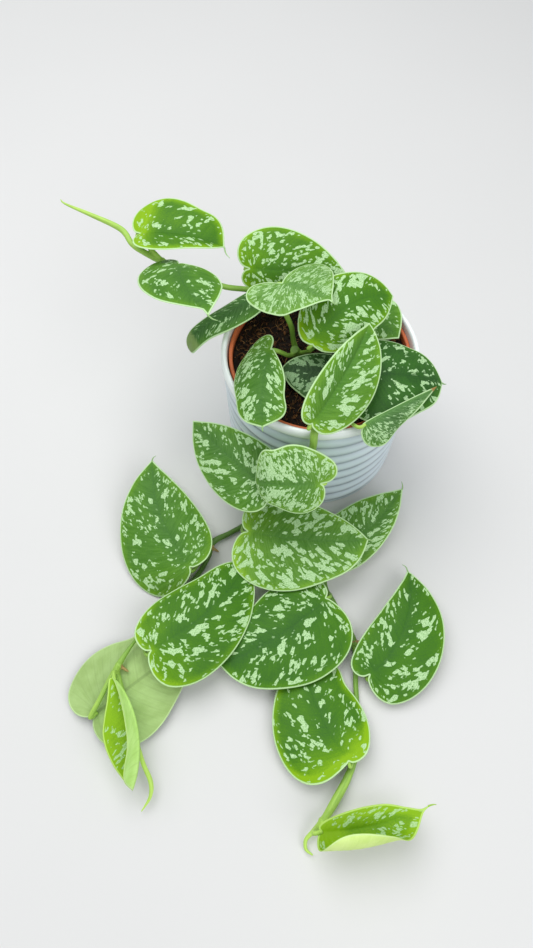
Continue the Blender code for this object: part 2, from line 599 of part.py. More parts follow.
def build():
    clear_scene()
    ceramic = make_material("glazed_ceramic", (0.62, 0.70, 0.74), 0.25)
    plastic = make_material("terracotta_plastic", (0.62, 0.20, 0.08), 0.45)
    earth = make_material("coir_soil", (0.045, 0.022, 0.012), 0.95)
    green = make_material("stem_green", (0.22, 0.38, 0.08), 0.5)
    old_green = make_material("old_stem", (0.13, 0.24, 0.06), 0.6)
    build_pots(ceramic, plastic)
    paths = {
        "vine_free": (VINE_FREE, green), "vine_left": (VINE_LEFT, green), "vine_right": (VINE_RIGHT, green),
        "stem_centre": (STEM_CENTRE, old_green), "stem_right": (STEM_RIGHT, old_green),
    }
    build_soil(earth, {name: path[0] for name, (path, _) in paths.items() if name != "vine_right"})
    stems = {name: add_tube(name, path, STEM_SIDES, material) for name, (path, material) in paths.items()}
    for leaf in STALKS:
        stem = STALKS[leaf][0]
        helper = add_tube(f"stalk_{leaf}", stalk_path(leaf), PETIOLE_SIDES, paths[stem][1])
        add_boolean(stems[stem], helper, "UNION")
    red, leaf_green, blue = LEAF_COLOUR
    for number, (name, spec) in enumerate(LEAVES.items()):
        tint = LEAF_TINT * math.sin(LEAF_TINT_STEP * number)
        colour = (red + tint / 2, leaf_green + tint, blue)
        add_leaf(name, spec, make_material(name + "_green", colour, LEAF_SHEEN))


build()
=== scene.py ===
"""Looks of the potted satin pothos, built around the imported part.

Tables are in millimetres and degrees, in the part's frame: the origin is the centre of the cover
pot's base on the table, +Z is up and the trailing vines run towards -Y.
"""
import math
import random

import bpy
import numpy as np
from mathutils import Matrix, Vector, kdtree, noise


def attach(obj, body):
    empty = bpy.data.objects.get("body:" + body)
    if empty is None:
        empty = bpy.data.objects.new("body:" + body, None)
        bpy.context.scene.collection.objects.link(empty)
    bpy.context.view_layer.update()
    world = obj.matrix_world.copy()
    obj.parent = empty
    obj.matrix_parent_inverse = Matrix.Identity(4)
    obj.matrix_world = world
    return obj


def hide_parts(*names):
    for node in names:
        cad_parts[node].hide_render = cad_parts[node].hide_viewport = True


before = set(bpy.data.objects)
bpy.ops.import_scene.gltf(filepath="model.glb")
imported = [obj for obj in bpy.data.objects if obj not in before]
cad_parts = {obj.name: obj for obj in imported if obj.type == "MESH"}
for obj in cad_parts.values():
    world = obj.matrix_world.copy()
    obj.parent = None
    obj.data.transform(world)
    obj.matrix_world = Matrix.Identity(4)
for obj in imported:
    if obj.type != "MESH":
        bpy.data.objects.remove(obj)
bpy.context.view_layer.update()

MM = 0.001

# Camera
CAMERA_PLACE = (-34.3, -285.7, 467.9)
CAMERA_TILT = 28.14
CAMERA_ROLL = 0.57
FOCAL_PIXELS = 700.0
IMAGE_HEIGHT = 948.0
SENSOR = 36.0

# Cover pot
POT_RIM_RADIUS = 65.0
POT_HEIGHT = 106.0
POT_RIM_DEPTH = 9.0
POT_BASE_RADIUS = 61.0
POT_WALL = 4.2
POT_FLOOR = 5.0
POT_RIBS = 8
POT_RIB_DEPTH = 1.1
POT_RIB_POINTS = 12
POT_RIB_START = 4.0
POT_BODY_INSET = 1.0
POT_FOOT_RADIUS = 57.0
POT_SEGMENTS = 200

# Nursery pot
GAP = 0.3
NURSERY_TOP_RADIUS = 59.8
NURSERY_BASE_RADIUS = 50.0
NURSERY_TOP = 101.5
NURSERY_WALL = 1.2
NURSERY_LIP = 1.2
NURSERY_LIP_HEIGHT = 6.0
NURSERY_SEGMENTS = 160
DRAIN_RADIUS = 4.0
DRAIN_RING = 30.0
DRAIN_COUNT = 5

# Soil
SOIL_TOP = 96.5
SOIL_RINGS = 70
SOIL_SEGMENTS = 200
SOIL_ROUGHNESS = 1.3
SOIL_SEED = 11
SOIL_CRUMBS = 2400
CRUMB_SMALLEST = 0.38
CRUMB_SPREAD = 0.9
CRUMB_TONES = (0.1, 0.2, 0.3, 0.4, 0.5, 0.62, 0.78)
SOIL_FIBRES = 1300
FIBRE_POINTS = 5
FIBRE_TONES = (0.45, 0.55, 0.65, 0.75, 0.85, 1.0)

# Leaves
LEAF_THICKNESS = 0.6
LEAF_ROWS = 120
LEAF_COLUMNS = 18
VEIN_SWEEP = 0.24
VEIN_SPACING = 5.5
CURVE_STEPS = 60
TIP_FULLNESS = 0.24
TIP_PLACE = 0.88
TIP_SPREAD = 0.16
OPENING_START = 0.6
EDGE_WAVE = 0.6
EDGE_WAVE_RATE = 8.2
EDGE_WAVE_SHIFT = 2.0
SURFACE_SWELL = 0.5
VEIN_QUILT = 0.16
RIB_GROOVE = 0.2
RIB_RIDGE = 0.75
EDGE_ROUNDNESS = 0.18
THREAD_START = 0.985
THREAD_RADII = (0.55, 0.52, 0.4, 0.16)
# Layers of silvery patches: cell size, share of the blade, and how strongly they cluster.
PATCH_LAYERS = ((0.68, 0.42, 0.8), (1.1, 0.38, 0.8), (2.1, 0.14, 0.4))

# Stems
STEM_SIDES = 20
STEM_STEP = 1.5
STEM_VOXEL = 0.36
FINE_STEP = 0.5
THINNEST_TUBE = 0.12
# Swelling where a stalk leaves its stem: place along the stem and share of the swollen radius.
NODE_BULGE = ((-2.2, 0.6), (-0.8, 1.0), (0.6, 1.0), (2.2, 0.6))
NODE_SWELL = 0.35
NUB_AGE = 0.3

# Studio
FLOOR_HALF = 2500.0
FLOOR_DROP = 0.1
# Each light: place and size in metres, and power in watts.
LIGHTS = {
    "key": ((-0.40, 0.35, 1.30), 1.3, 15.5),
    "fill": ((0.6, -0.9, 1.1), 1.0, 9.0),
}
LIGHT_TARGET = (-0.03, -0.08, 0.05)
SKY_COLOUR = (0.93, 0.96, 1.0, 1.0)
SKY_STRENGTH = 0.45

# One side of a blade from the notch round the lobe to the tip: shares of the length
# towards the tip, of the lobe away from it and of the half width.
BLADE_OUTLINE = [
    (0.0, 0.0, 0.0), (0.0, 0.55, 0.07), (0.0, 0.92, 0.24), (0.005, 1.0, 0.46), (0.03, 0.87, 0.67),
    (0.075, 0.5, 0.84), (0.155, 0.15, 0.96), (0.28, 0.0, 1.0), (0.45, 0.0, 0.94), (0.64, 0.0, 0.75),
    (0.81, 0.0, 0.45), (0.92, 0.0, 0.19), (1.0, 0.0, 0.0),
]

# Each blade: base, tip, facing, half widths left and right, lobes left and right, then
# arch (how far it droops), late (how near the tip it droops), bend (in its own plane),
# and for the left and right half fold, curl, blunt (towards the tip) and slim (towards
# the base). A folded or rolled blade opens towards its tip by the share given as opening.
LEAVES = {
    "leaf_01": dict(base=(-115, 53, 152), tip=(-62, 44, 150), face=(0, -0.3, 0.95), width=(27, 20),
        lobes=(7, 1), arch=40, bend=14, fold=(0, 45), curl=(20, 30), blunt=(1.1, 0.5)),
    "leaf_02": dict(base=(-88.5, 27, 153), tip=(-67, -29, 171), face=(-0.1, 0.15, 1), width=(30, 24),
        lobes=(0, 13), arch=30, bend=-30, fold=(0, 8), curl=(30, 12), blunt=(0.2, -0.9),
        slim=(0.9, -0.1)),
    "leaf_03": dict(base=(-47, 48, 128), tip=(19, 44, 124), face=(0, -0.6, 0.8), width=(27, 16),
        lobes=(9, 5), arch=30, bend=4, curl=(25, 25), slim=(-0.15, 0)),
    "leaf_04": dict(base=(-26, 15, 150), tip=(4, 0, 150), face=(0.1, 0.1, 1), width=(42, 16),
        lobes=(1, 19), arch=30, curl=(25, 25), blunt=(-0.3, -0.8), slim=(0.42, -0.7)),
    "leaf_05": dict(base=(-7, -14, 128), tip=(44, 20, 134), face=(0, -0.4, 0.9), width=(30, 27),
        lobes=(1, 1), arch=50, bend=55, curl=(25, 25), blunt=(0.7, 0.8), slim=(0.52, 0.35)),
    "leaf_06": dict(base=(-41, 38, 115), tip=(-86, 8, 92), face=(-0.3, 0, 1), width=(13, 8),
        lobes=(3, 2), arch=110, late=4, bend=20, curl=(30, 20), blunt=(1.1, 2.0),
        slim=(0, -0.3)),
    "leaf_07": dict(base=(-32, -10, 118), tip=(-37, -65, 114), face=(-0.2, -0.4, 0.85), width=(19.5, 23.5),
        lobes=(1, 20), arch=50, bend=-12, curl=(35, 45), blunt=(1.7, 1.2), slim=(0.9, 0)),
    "leaf_08": dict(base=(12, -22.5, 108), tip=(-25, -13.5, 104), face=(0, -0.3, 0.9), width=(20, 14),
        lobes=(3, 2), arch=25, curl=(12, 20), blunt=(0.5, 0.5)),
    "leaf_09": dict(base=(-8, -66, 120), tip=(27, -5, 138), face=(0.2, -0.2, 0.95), width=(14.5, 27),
        lobes=(2, 2), arch=35, bend=-12, fold=(30, 0), curl=(25, 25), blunt=(0, 0.3),
        slim=(0.1, 0.4)),
    "leaf_10": dict(base=(21, -29, 114), tip=(76, -26, 106), face=(0.15, -0.05, 1), width=(30, 33),
        lobes=(8, 8), arch=60, curl=(20, 12), blunt=(1.0, 0.6)),
    "leaf_11": dict(base=(23.4, -64.6, 117.4), tip=(70.4, -33, 112.4), face=(0.3, -0.5, 0.8),
        width=(2.5, 4.1), lobes=(1, 5), arch=68, bend=8, fold=(-40, 0), curl=(25, 6),
        slim=(0, -4.5)),
    "leaf_12": dict(base=(28, 31, 108), tip=(51, 8, 108), face=(0.2, -0.3, 0.9), width=(22, 18),
        lobes=(6, 6), arch=30, curl=(20, 20)),
    "leaf_13": dict(base=(-33, -84, 72), tip=(-85, -28, 62), face=(-0.3, -0.3, 0.9), width=(25.5, 20),
        lobes=(5, 4), arch=30, bend=8, curl=(25, 25), slim=(0, -0.15)),
    "leaf_14": dict(base=(-1, -90, 90), tip=(-41, -84, 82), face=(0, -0.7, 0.7), width=(20, 28.5),
        lobes=(3, 10), arch=80, late=2, bend=-6, curl=(20, 12), blunt=(0.9, 1.4),
        slim=(0, 0.3)),
    "leaf_15": dict(base=(-86, -116, 14.5), tip=(-117, -39, 26), face=(-0.1, -0.1, 1), width=(34, 27),
        lobes=(7, 3), arch=25, bend=36, curl=(24, 25), slim=(-0.25, 0)),
    "leaf_16": dict(base=(-47, -95, 28), tip=(35, -101, 30), face=(0, -0.1, 1), width=(31, 36),
        lobes=(7, 7), arch=20, bend=-24, curl=(15, 25), blunt=(0.3, 0.6), slim=(-0.1, 0)),
    "leaf_17": dict(base=(13, -108, 10), tip=(63, -58, 22), face=(0, -0.1, 1), width=(25, 15),
        lobes=(8, 4), arch=20, bend=-20, curl=(20, 20)),
    "leaf_18": dict(base=(-106, -177, 28), tip=(-45, -111, 13), face=(0, -0.1, 1), width=(28, 31),
        lobes=(5.5, 5), arch=30, bend=-34, curl=(25, 25), blunt=(0.8, 0), slim=(0, -0.1)),
    "leaf_19": dict(base=(6, -139, 20), tip=(-64, -181, 12), face=(0, 0, 1), width=(40, 31),
        lobes=(2, 7), arch=20, bend=30, curl=(20, 20), blunt=(0.5, 0), slim=(0.12, 0)),
    "leaf_20": dict(base=(33, -187, 12), tip=(63, -117, 14), face=(0, 0, 1), width=(21, 31),
        lobes=(7, 5), arch=30, bend=-60, curl=(20, 20)),
    "leaf_21": dict(base=(17, -239, 14), tip=(-8, -173, 5), face=(0, 0, 1), width=(34, 29.5),
        lobes=(1, 4), arch=25, bend=36, curl=(20, 20), blunt=(0.3, 1.4), slim=(0, 0.2)),
    "leaf_22": dict(base=(-140, -212, 8), tip=(-86, -168, 5), face=(0, 0, -1), width=(32, 34),
        lobes=(7, 11), arch=-20, curl=(-15, -15), blunt=(0.5, 2.0)),
    "leaf_23": dict(base=(-128, -193, 21.5), tip=(-111, -256.5, 18), face=(0, 0, 1), width=(18, 29),
        lobes=(2, 2), arch=20, bend=62, fold=(122, 10), curl=(20, 25), blunt=(2.2, 0.4),
        slim=(0.9, 0.8)),
    "leaf_24": dict(base=(-1, -277, 17), tip=(62, -263, 20.5), face=(0, 0, 1), width=(13, 28),
        lobes=(1, 3), arch=-15, bend=-22, fold=(10, 0), curl=(20, -160), blunt=(-0.8, -0.5),
        slim=(0.5, -0.05), opening=1),
}

# Looks of each blade, over the plain look: tone from dark green (0) to young yellow-green (1),
# lowered as painted shade on the leaves that lie in shade, share of the blade that is silvered,
# patch cells to the centimetre, how long they run along the veins, how much the silvering grows
# towards the tip, how far the lobes lighten (partly yellower green, partly painted glow of backlit
# lobes), a pale veil over all that is partly silvering and partly painted satin sheen, the strength
# of the patches, and the reach from which the tip is bare or scorched.
PLAIN_LOOK = dict(run=1.5, silver=0.0, lobes=0.0, veil_and_sheen=0.0, patch=0.96, bare=None, scorched=None)
LOOKS = {
    # leaf_01's light left lobe is partly painted glow, as that lobe is backlit.
    "leaf_01": dict(tone=0.52, cover=0.15, cells=4.3, run=1.2, lobes=0.60),
    "leaf_02": dict(tone=0.47, cover=0.16, cells=4.8, run=1.2, lobes=0.05, veil_and_sheen=0.03),
    "leaf_03": dict(tone=0.53, cover=0.34, cells=4.0, run=1.2, lobes=0.15),
    "leaf_04": dict(tone=0.58, cover=0.42, cells=12.0, run=3.2, silver=0.1, veil_and_sheen=0.16, patch=0.78),
    "leaf_05": dict(tone=0.51, cover=0.56, cells=5.0, run=2.3, lobes=0.30),
    "leaf_06": dict(tone=0.33, cover=0.12, cells=8.0, run=2.5, veil_and_sheen=0.07, bare=0.76),
    "leaf_07": dict(tone=0.46, cover=0.46, cells=5.4, lobes=0.1, veil_and_sheen=0.05),
    # leaf_08's very low tone is partly painted shade, as it lies in shade under the leaves above it.
    "leaf_08": dict(tone=0.10, cover=0.90, cells=5.0, run=1.4, veil_and_sheen=0.08),
    "leaf_09": dict(tone=0.55, cover=0.38, cells=4.8, run=1.7, lobes=0.15, veil_and_sheen=0.05),
    # leaf_10's low tone is partly painted shade from the leaves beside it.
    "leaf_10": dict(tone=0.24, cover=0.20, cells=4.2),
    # leaf_11's low tone is partly painted shade.
    "leaf_11": dict(tone=0.30, cover=0.52, cells=17.0, run=3.0, lobes=0.1, veil_and_sheen=0.14, scorched=0.87),
    "leaf_12": dict(tone=0.50, cover=0.12, cells=5.0, veil_and_sheen=0.05),
    "leaf_13": dict(tone=0.48, cover=0.36, cells=4.7, run=1.4, veil_and_sheen=0.08),
    "leaf_14": dict(tone=0.54, cover=0.55, cells=8.5, run=2.2, silver=0.35, lobes=0.15, veil_and_sheen=0.10),
    "leaf_15": dict(tone=0.47, cover=0.19, cells=5.2, run=1.4, lobes=0.1, veil_and_sheen=0.05),
    "leaf_16": dict(tone=0.54, cover=0.38, cells=4.0, silver=0.1, lobes=0.25, veil_and_sheen=0.08),
    "leaf_17": dict(tone=0.50, cover=0.46, cells=5.8, run=1.8, lobes=0.1, veil_and_sheen=0.08),
    "leaf_18": dict(tone=0.44, cover=0.23, cells=3.9, lobes=0.25),
    "leaf_19": dict(tone=0.38, cover=0.23, cells=3.8, lobes=0.1),
    "leaf_20": dict(tone=0.43, cover=0.31, cells=3.8),
    "leaf_21": dict(tone=0.46, cover=0.25, cells=4.2, run=1.4, lobes=0.55),
    "leaf_22": dict(tone=0.45, cover=0.30, cells=5.0, lobes=0.1),
    "leaf_23": dict(tone=0.92, cover=0.20, cells=5.0, patch=0.8),
    "leaf_24": dict(tone=0.87, cover=0.20, cells=6.0, run=1.6, silver=0.2, lobes=0.6, patch=0.75),
}

# Thread at the tip of a blade: how far it runs on, and where it turns to, from the tip.
DRIP_TIPS = {
    "leaf_01": [(1, -2.5, -2.5), (3.5, -5, -4)],
    "leaf_02": [(2.5, -2, -0.5), (5.5, -3.5, 0)],
    "leaf_04": [(1.5, -0.5, -0.5), (3, -1, -1)],
    "leaf_07": [(0, -1.5, -0.5), (0.5, -2.5, -1)],
    "leaf_10": [(1.5, 0, -1), (3, 0.5, -1.5)],
    "leaf_15": [(0.5, 2, 0), (2.5, 3.5, 0.5)],
    "leaf_16": [(2, -0.5, -0.2), (3.5, -1, -0.5)],
    "leaf_17": [(0.2, 2.5, 0.5), (-0.5, 5, 1.5)],
    "leaf_20": [(-1, 2.5, 0.5), (-3.5, 4, 1)],
    "leaf_24": [(2, 0.5, 0), (4, 0.5, 0.5)],
}

# Vines and pot stems as x, y, z and radius along the path.
VINE_FREE = [
    (-22, 40, 82, 2.2), (-22, 40, 98, 2.2), (-25, 37, 108, 2.1), (-31, 33, 117, 2.0), (-38, 30, 124, 1.9),
    (-47, 29, 129, 1.8), (-63, 27, 134, 1.8), (-82, 32.5, 138.5, 1.9), (-100, 38, 143, 2.1),
    (-112, 43, 146, 1.9), (-120, 48, 148, 1.8), (-128, 59, 150, 1.9), (-147, 66, 155, 1.4),
    (-163, 72, 158, 0.7), (-166, 74, 160, 0.3),
]
VINE_LEFT = [
    (-4, -46, 82, 2.5), (-4, -46, 90, 2.5), (-4, -46, 98, 2.5), (-4, -49, 105, 2.5),
    (-4.5, -55, 109.5, 2.5), (-5, -61, 111, 2.5), (-6, -67, 109, 2.5), (-6, -69, 102, 2.4),
    (-6.5, -68.5, 92, 2.3), (-8, -67.5, 76, 2.2), (-11, -66, 58, 2.2), (-16, -64.5, 42, 2.1),
    (-20, -63.5, 28, 2.0), (-27, -64, 14, 2.0), (-38, -70, 5, 2.0), (-50, -79, 2.8, 1.9),
    (-61, -86, 2.8, 1.9), (-72, -93, 3.2, 2.3), (-75, -104, 2.4, 1.8), (-81, -116, 2.2, 1.6),
    (-92, -131, 2.2, 1.5), (-105, -147, 3.5, 1.3), (-112, -157, 9, 1.1), (-119, -167, 13.5, 1.1),
    (-128, -184, 14.5, 2.0), (-126, -193, 14.5, 1.6), (-120, -207, 14, 1.3), (-113, -226, 14, 1.3),
    (-107, -241, 13, 1.4), (-102, -251, 10, 1.5), (-102, -259, 7, 1.1), (-107, -267, 4, 0.4),
]
VINE_RIGHT = [
    (-13, -66.5, 43, 1.4), (-11, -67, 36, 1.9), (-9, -66.5, 26, 1.9), (-4, -70, 12, 1.9), (0, -82, 4, 1.9),
    (3, -100, 2.4, 1.9), (6, -118, 2.4, 1.9),
    (8, -128, 2.6, 1.8), (12, -135, 2.4, 1.8), (19, -149, 2.4, 1.8), (25, -163, 2.8, 2.4),
    (26, -175, 2.4, 1.7), (25, -190, 2.4, 1.7), (25, -210, 2.8, 1.8), (23, -232, 4, 1.9),
    (17, -247, 5, 2.5), (9, -260, 5.5, 2.7), (2, -270, 5.5, 2.2), (-5, -277, 4.5, 1.5),
    (-9, -281, 3.6, 1.2), (-9, -286, 3, 1.0), (-5, -289, 2.6, 0.5),
]
STEM_CENTRE = [
    (-15, 2, 82, 3.2), (-15, 2, 94, 3.2), (-15, 1.5, 99, 3.2), (-17, 0.5, 105, 3.0),
]
STEM_RIGHT = [
    (18, -12, 82, 2.4), (18, -12, 94, 2.4), (18, -12, 99.5, 2.6), (18.5, -12.5, 104, 1.6),
]

# Each stem: its path, and a tone along the way from dark (0) to pale (1) that is partly its age, from old
# to new growth, and partly painted light and shade: darker where a vine lies in shade, paler where a stalk
# is lit.
STEMS = {
    "vine_free": (VINE_FREE, (0.5, 0.55, 0.6, 0.8, 0.95)),
    # vine_left is painted darker along its middle, as painted shade where it lies in shade on the table.
    "vine_left": (VINE_LEFT, (0.66, 0.72, 0.35, 0.2, 0.3, 0.9, 1.0)),
    "vine_right": (VINE_RIGHT, (0.3, 0.3, 0.4, 0.62, 0.95)),
    # The pot stems are set a little paler as painted light, so their lit stalks come out paler.
    "stem_centre": (STEM_CENTRE, (0.4, 0.5)),
    "stem_right": (STEM_RIGHT, (0.2, 0.3)),
}

# Leaf stalks of each stem: where the stalk leaves it, points on the way, and radius.
STALKS = {
    "vine_free": {
        "leaf_01": ((-101, 38.5, 143.2), [(-108, 44, 148)], 1.4),
        "leaf_02": ((-96, 36.8, 142), [(-93, 33.5, 146)], 1.3),
        "leaf_03": ((-26, 36.5, 109), [(-34, 42, 116), (-42, 48, 123)], 1.4),
        "leaf_06": ((-23, 39, 102), [(-30, 41, 107)], 1.2),
    },
    "stem_centre": {
        "leaf_04": ((-15.5, 3.2, 99), [(-18, 7.5, 108), (-19.5, 6, 121), (-25, 7, 137)], 1.7),
        "leaf_05": ((-14, 1, 100), [(-9, -3, 107), (-6, -8, 117)], 1.4),
        "leaf_07": ((-16, 0.5, 99.5), [(-21, -4.5, 105), (-24, -7, 110), (-28, -9, 115)], 1.5),
    },
    "stem_right": {
        "leaf_08": ((18, -13, 98.8), [(17, -19, 103)], 1.2),
        "leaf_10": ((18.3, -12.6, 101), [(19.5, -18, 108)], 1.5),
        "leaf_12": ((18, -11.5, 99), [(21, -2, 101), (25, 14, 102)], 1.3),
    },
    "vine_left": {
        "leaf_09": ((-4.3, -53, 108.5), [(-6, -59, 116)], 1.4),
        "leaf_11": ((-4, -47, 101), [(4, -50, 105), (13, -57, 111)], 1.2),
        "leaf_14": ((-6.4, -68.7, 95), [(-4, -75, 89)], 1.3),
        "leaf_13": ((-9.5, -66.7, 67), [(-18, -74, 65)], 1.3),
        "leaf_16": ((-43, -74, 3.7), [(-50, -85, 14)], 1.4),
        "leaf_15": ((-74, -99, 2.7), [(-80, -109, 7)], 1.3),
        "leaf_18": ((-111, -155.5, 8), [(-113, -168, 17)], 1.3),
        "leaf_22": ((-128, -183, 14.5), [(-132, -192, 16), (-137, -204, 15)], 1.6),
        "leaf_23": ((-128, -184, 14.8), [(-128, -188, 18)], 1.4),
    },
    "vine_right": {
        "leaf_17": ((4.5, -110, 2.6), [(8, -109, 5)], 1.2),
        "leaf_19": ((10, -131.5, 2.5), [(9, -134, 10)], 1.3),
        "leaf_20": ((25, -165, 2.8), [(29, -175, 5)], 1.3),
        "leaf_21": ((22.5, -234, 4.1), [(20, -237, 8.5)], 1.3),
        "leaf_24": ((0.5, -271.5, 5.3), [(-3, -275, 10)], 1.5),
    },
}

# Blades that the stalk meets from behind; it meets the others from below.
MET_FROM_BEHIND = ("leaf_11", "leaf_23", "leaf_24")

# Brown root nubs on the stems: root and tip of each.
ROOT_NUBS = {
    "vine_free": [((-97, 34, 143), (-98, 32, 140)), ((-27, 35, 111), (-29, 33, 110))],
    "vine_left": [
        ((-4, -48, 102), (-7, -47, 101)), ((-10, -66.5, 66), (-13, -67.5, 65)),
        ((-42, -74, 4), (-41, -78, 3)), ((-73, -97, 3), (-69, -99, 2.2)),
        ((-110, -154, 7), (-106, -157, 6)), ((-126, -184, 13.5), (-122.5, -186, 12.5)),
    ],
    "vine_right": [
        ((5, -113, 2.4), (9, -114, 1.8)), ((10, -132, 2.4), (6.5, -134, 1.8)),
        ((25, -164, 2.8), (29, -163, 2.2)), ((23, -232, 4), (26.5, -233, 3)),
    ],
    "stem_centre": [((-14, 0, 99), (-11.5, -2, 98))],
    "stem_right": [((19, -12, 97), (21.5, -12, 96))],
}


class Graph:
    """Shader nodes of one material, ending in its Principled shader."""

    def __init__(self, name):
        self.material = bpy.data.materials.new(name)
        self.material.use_nodes = True
        self.tree = self.material.node_tree
        self.shader = self.tree.nodes["Principled BSDF"]

    def feed(self, socket, value):
        """Link a socket to another node's output, or set its value."""
        if isinstance(value, bpy.types.NodeSocket):
            self.tree.links.new(value, socket)
        elif socket.type == "RGBA":
            socket.default_value = (*value, 1.0)
        else:
            socket.default_value = value

    def add(self, kind, output, inputs, **settings):
        """Make a node and return one of its outputs."""
        node = self.tree.nodes.new(kind)
        for key, value in settings.items():
            setattr(node, key, value)
        for key, value in inputs.items():
            self.feed(node.inputs[key], value)
        return node.outputs[output]

    def attribute(self, name, output="Fac"):
        return self.add("ShaderNodeAttribute", output, {}, attribute_name=name)

    def split(self, vector):
        node = self.tree.nodes.new("ShaderNodeSeparateXYZ")
        self.feed(node.inputs[0], vector)
        return node.outputs

    def math(self, operation, *values):
        return self.add("ShaderNodeMath", 0, dict(enumerate(values)), operation=operation)

    def vary(self, value, texture, swing):
        """The value, swung both ways by a texture."""
        return self.math("MULTIPLY_ADD", self.math("SUBTRACT", texture, 0.5), swing, value)

    def place(self, vector, scale, shift=(0.0, 0.0, 0.0)):
        """The vector, scaled and then shifted."""
        inputs = {0: vector, 1: scale, 2: shift}
        return self.add("ShaderNodeVectorMath", 0, inputs, operation="MULTIPLY_ADD")

    def shift(self, vector, shift):
        return self.place(vector, (1, 1, 1), shift)

    def ramp(self, value, low, high, first=0.0, last=1.0):
        """Smooth step from first, where the value is low, to last, where it is high."""
        inputs = {"Value": value, "From Min": low, "From Max": high, "To Min": first, "To Max": last}
        return self.add("ShaderNodeMapRange", "Result", inputs, interpolation_type="SMOOTHSTEP")

    def noise(self, vector, scale, detail=2.0, roughness=0.5):
        inputs = {"Vector": vector, "Scale": scale, "Detail": detail, "Roughness": roughness}
        return self.add("ShaderNodeTexNoise", 0, inputs)

    def cells(self, vector, scale, output):
        inputs = {"Vector": vector, "Scale": scale}
        return self.add("ShaderNodeTexVoronoi", output, inputs, voronoi_dimensions="2D")

    def mix(self, share, first, last):
        return self.add("ShaderNodeMix", 2, {0: share, 6: first, 7: last}, data_type="RGBA")

    def colours(self, value, stops):
        node = self.tree.nodes.new("ShaderNodeValToRGB")
        self.feed(node.inputs[0], value)
        elements = node.color_ramp.elements
        while len(elements) < len(stops):
            elements.new(0.5)
        for element, (place, colour) in zip(elements, stops):
            element.position = place
            element.color = (*colour, 1.0)
        return node.outputs[0]

    def bump(self, height, strength, distance):
        inputs = {"Height": height, "Strength": strength, "Distance": distance}
        self.feed(self.shader.inputs["Normal"], self.add("ShaderNodeBump", 0, inputs))

    def finish(self, colour, roughness, gloss=0.5):
        inputs = {"Base Color": colour, "Roughness": roughness, "Specular IOR Level": gloss}
        for key, value in inputs.items():
            self.feed(self.shader.inputs[key], value)
        return self.material


def silvery_patches(g, look, seed, vein, form, dust):
    """Share of silver at a point: angular cells in three sizes, clear of the midrib and the margin."""
    reach, rib, edge = form
    wobble = g.add("ShaderNodeTexNoise", "Color", {"Vector": vein, "Scale": 8.0, "Detail": 3.0})
    wobble = g.place(wobble, (0.09, 0.09, 0.0), (3.7 * seed, 1.9 * seed, 0.0))
    warped = g.place(vein, (1.0, 1.0, 0.0), wobble)
    cells = g.place(warped, (look["cells"], look["cells"] / look["run"], 1.0))
    cluster = g.noise(g.shift(vein, (0, seed, 3.0)), 1.5, 2.0)
    cluster = g.math("MULTIPLY_ADD", g.ramp(reach, 0.1, 0.9), look["silver"], cluster)
    room = g.math("MULTIPLY", g.ramp(rib, 0.8, 4.5), g.ramp(edge, 0.8, 2.8, 0.15, 1.0))
    patch = 0.0
    for size, share, swing in PATCH_LAYERS:
        chance = g.math("MULTIPLY", g.vary(share * look["cover"], cluster, swing), room)
        dice = g.split(g.cells(g.shift(cells, (7.3 * size, 5.1, 0)), size, "Color"))[0]
        layer = g.ramp(g.math("SUBTRACT", chance, dice), -0.012, 0.012)
        patch = g.math("MAXIMUM", patch, layer)
    patch = g.math("MULTIPLY", patch, g.ramp(dust, 0.36, 0.46, 0.45, 1.0))
    if look["bare"]:
        patch = g.math("MULTIPLY", patch, g.ramp(reach, look["bare"], look["bare"] - 0.06))
    return patch


def blade_green(g, look, seed, vein, form, dust, streak):
    """Green under the patches: paler at the lobes, the margin and away from the midrib, with a thin line
    of painted shade in the midrib's groove; the lighter lobes are partly painted glow of backlit lobes.
    """
    reach, rib, edge = form
    broad = g.noise(g.shift(vein, (seed, 0, 4.0)), 0.7, 2.0)
    tone = g.vary(look["tone"], broad, 0.22)
    tone = g.vary(tone, streak, 0.22)
    tone = g.vary(tone, dust, 0.42)
    # Painted shade: a thin darker line in the groove along the midrib.
    tone = g.math("SUBTRACT", tone, g.ramp(rib, 1.4, 0.3, 0.0, 0.035))
    # Lighter lobes and margin: partly a yellower green, partly painted glow of lobes lit from behind.
    tone = g.math("MULTIPLY_ADD", g.ramp(reach, 0.3, -0.05), look["lobes"], tone)
    tone = g.math("MULTIPLY_ADD", g.ramp(edge, 6.0, 0.5), 0.13 + 0.4 * look["lobes"], tone)
    tone = g.math("SUBTRACT", tone, g.ramp(rib, 10.0, 1.0, -0.03, 0.05))
    green = g.colours(tone, [
        (0.0, (0.014, 0.048, 0.016)), (0.3, (0.038, 0.134, 0.018)), (0.5, (0.060, 0.190, 0.011)),
        (0.75, (0.118, 0.290, 0.006)), (1.0, (0.235, 0.450, 0.008)),
    ])
    if look["bare"]:
        olive = g.ramp(g.vary(reach, streak, 0.08), look["bare"] - 0.01, look["bare"] + 0.05)
        green = g.mix(olive, green, (0.195, 0.300, 0.080))
    # A pale silvery veil along the streaks: partly fine silvering, partly painted satin sheen.
    veil_and_sheen = g.math("MULTIPLY", g.ramp(streak, 0.3, 0.7, 0.4, 1.6), look["veil_and_sheen"])
    return g.mix(veil_and_sheen, green, (0.38, 0.62, 0.30))


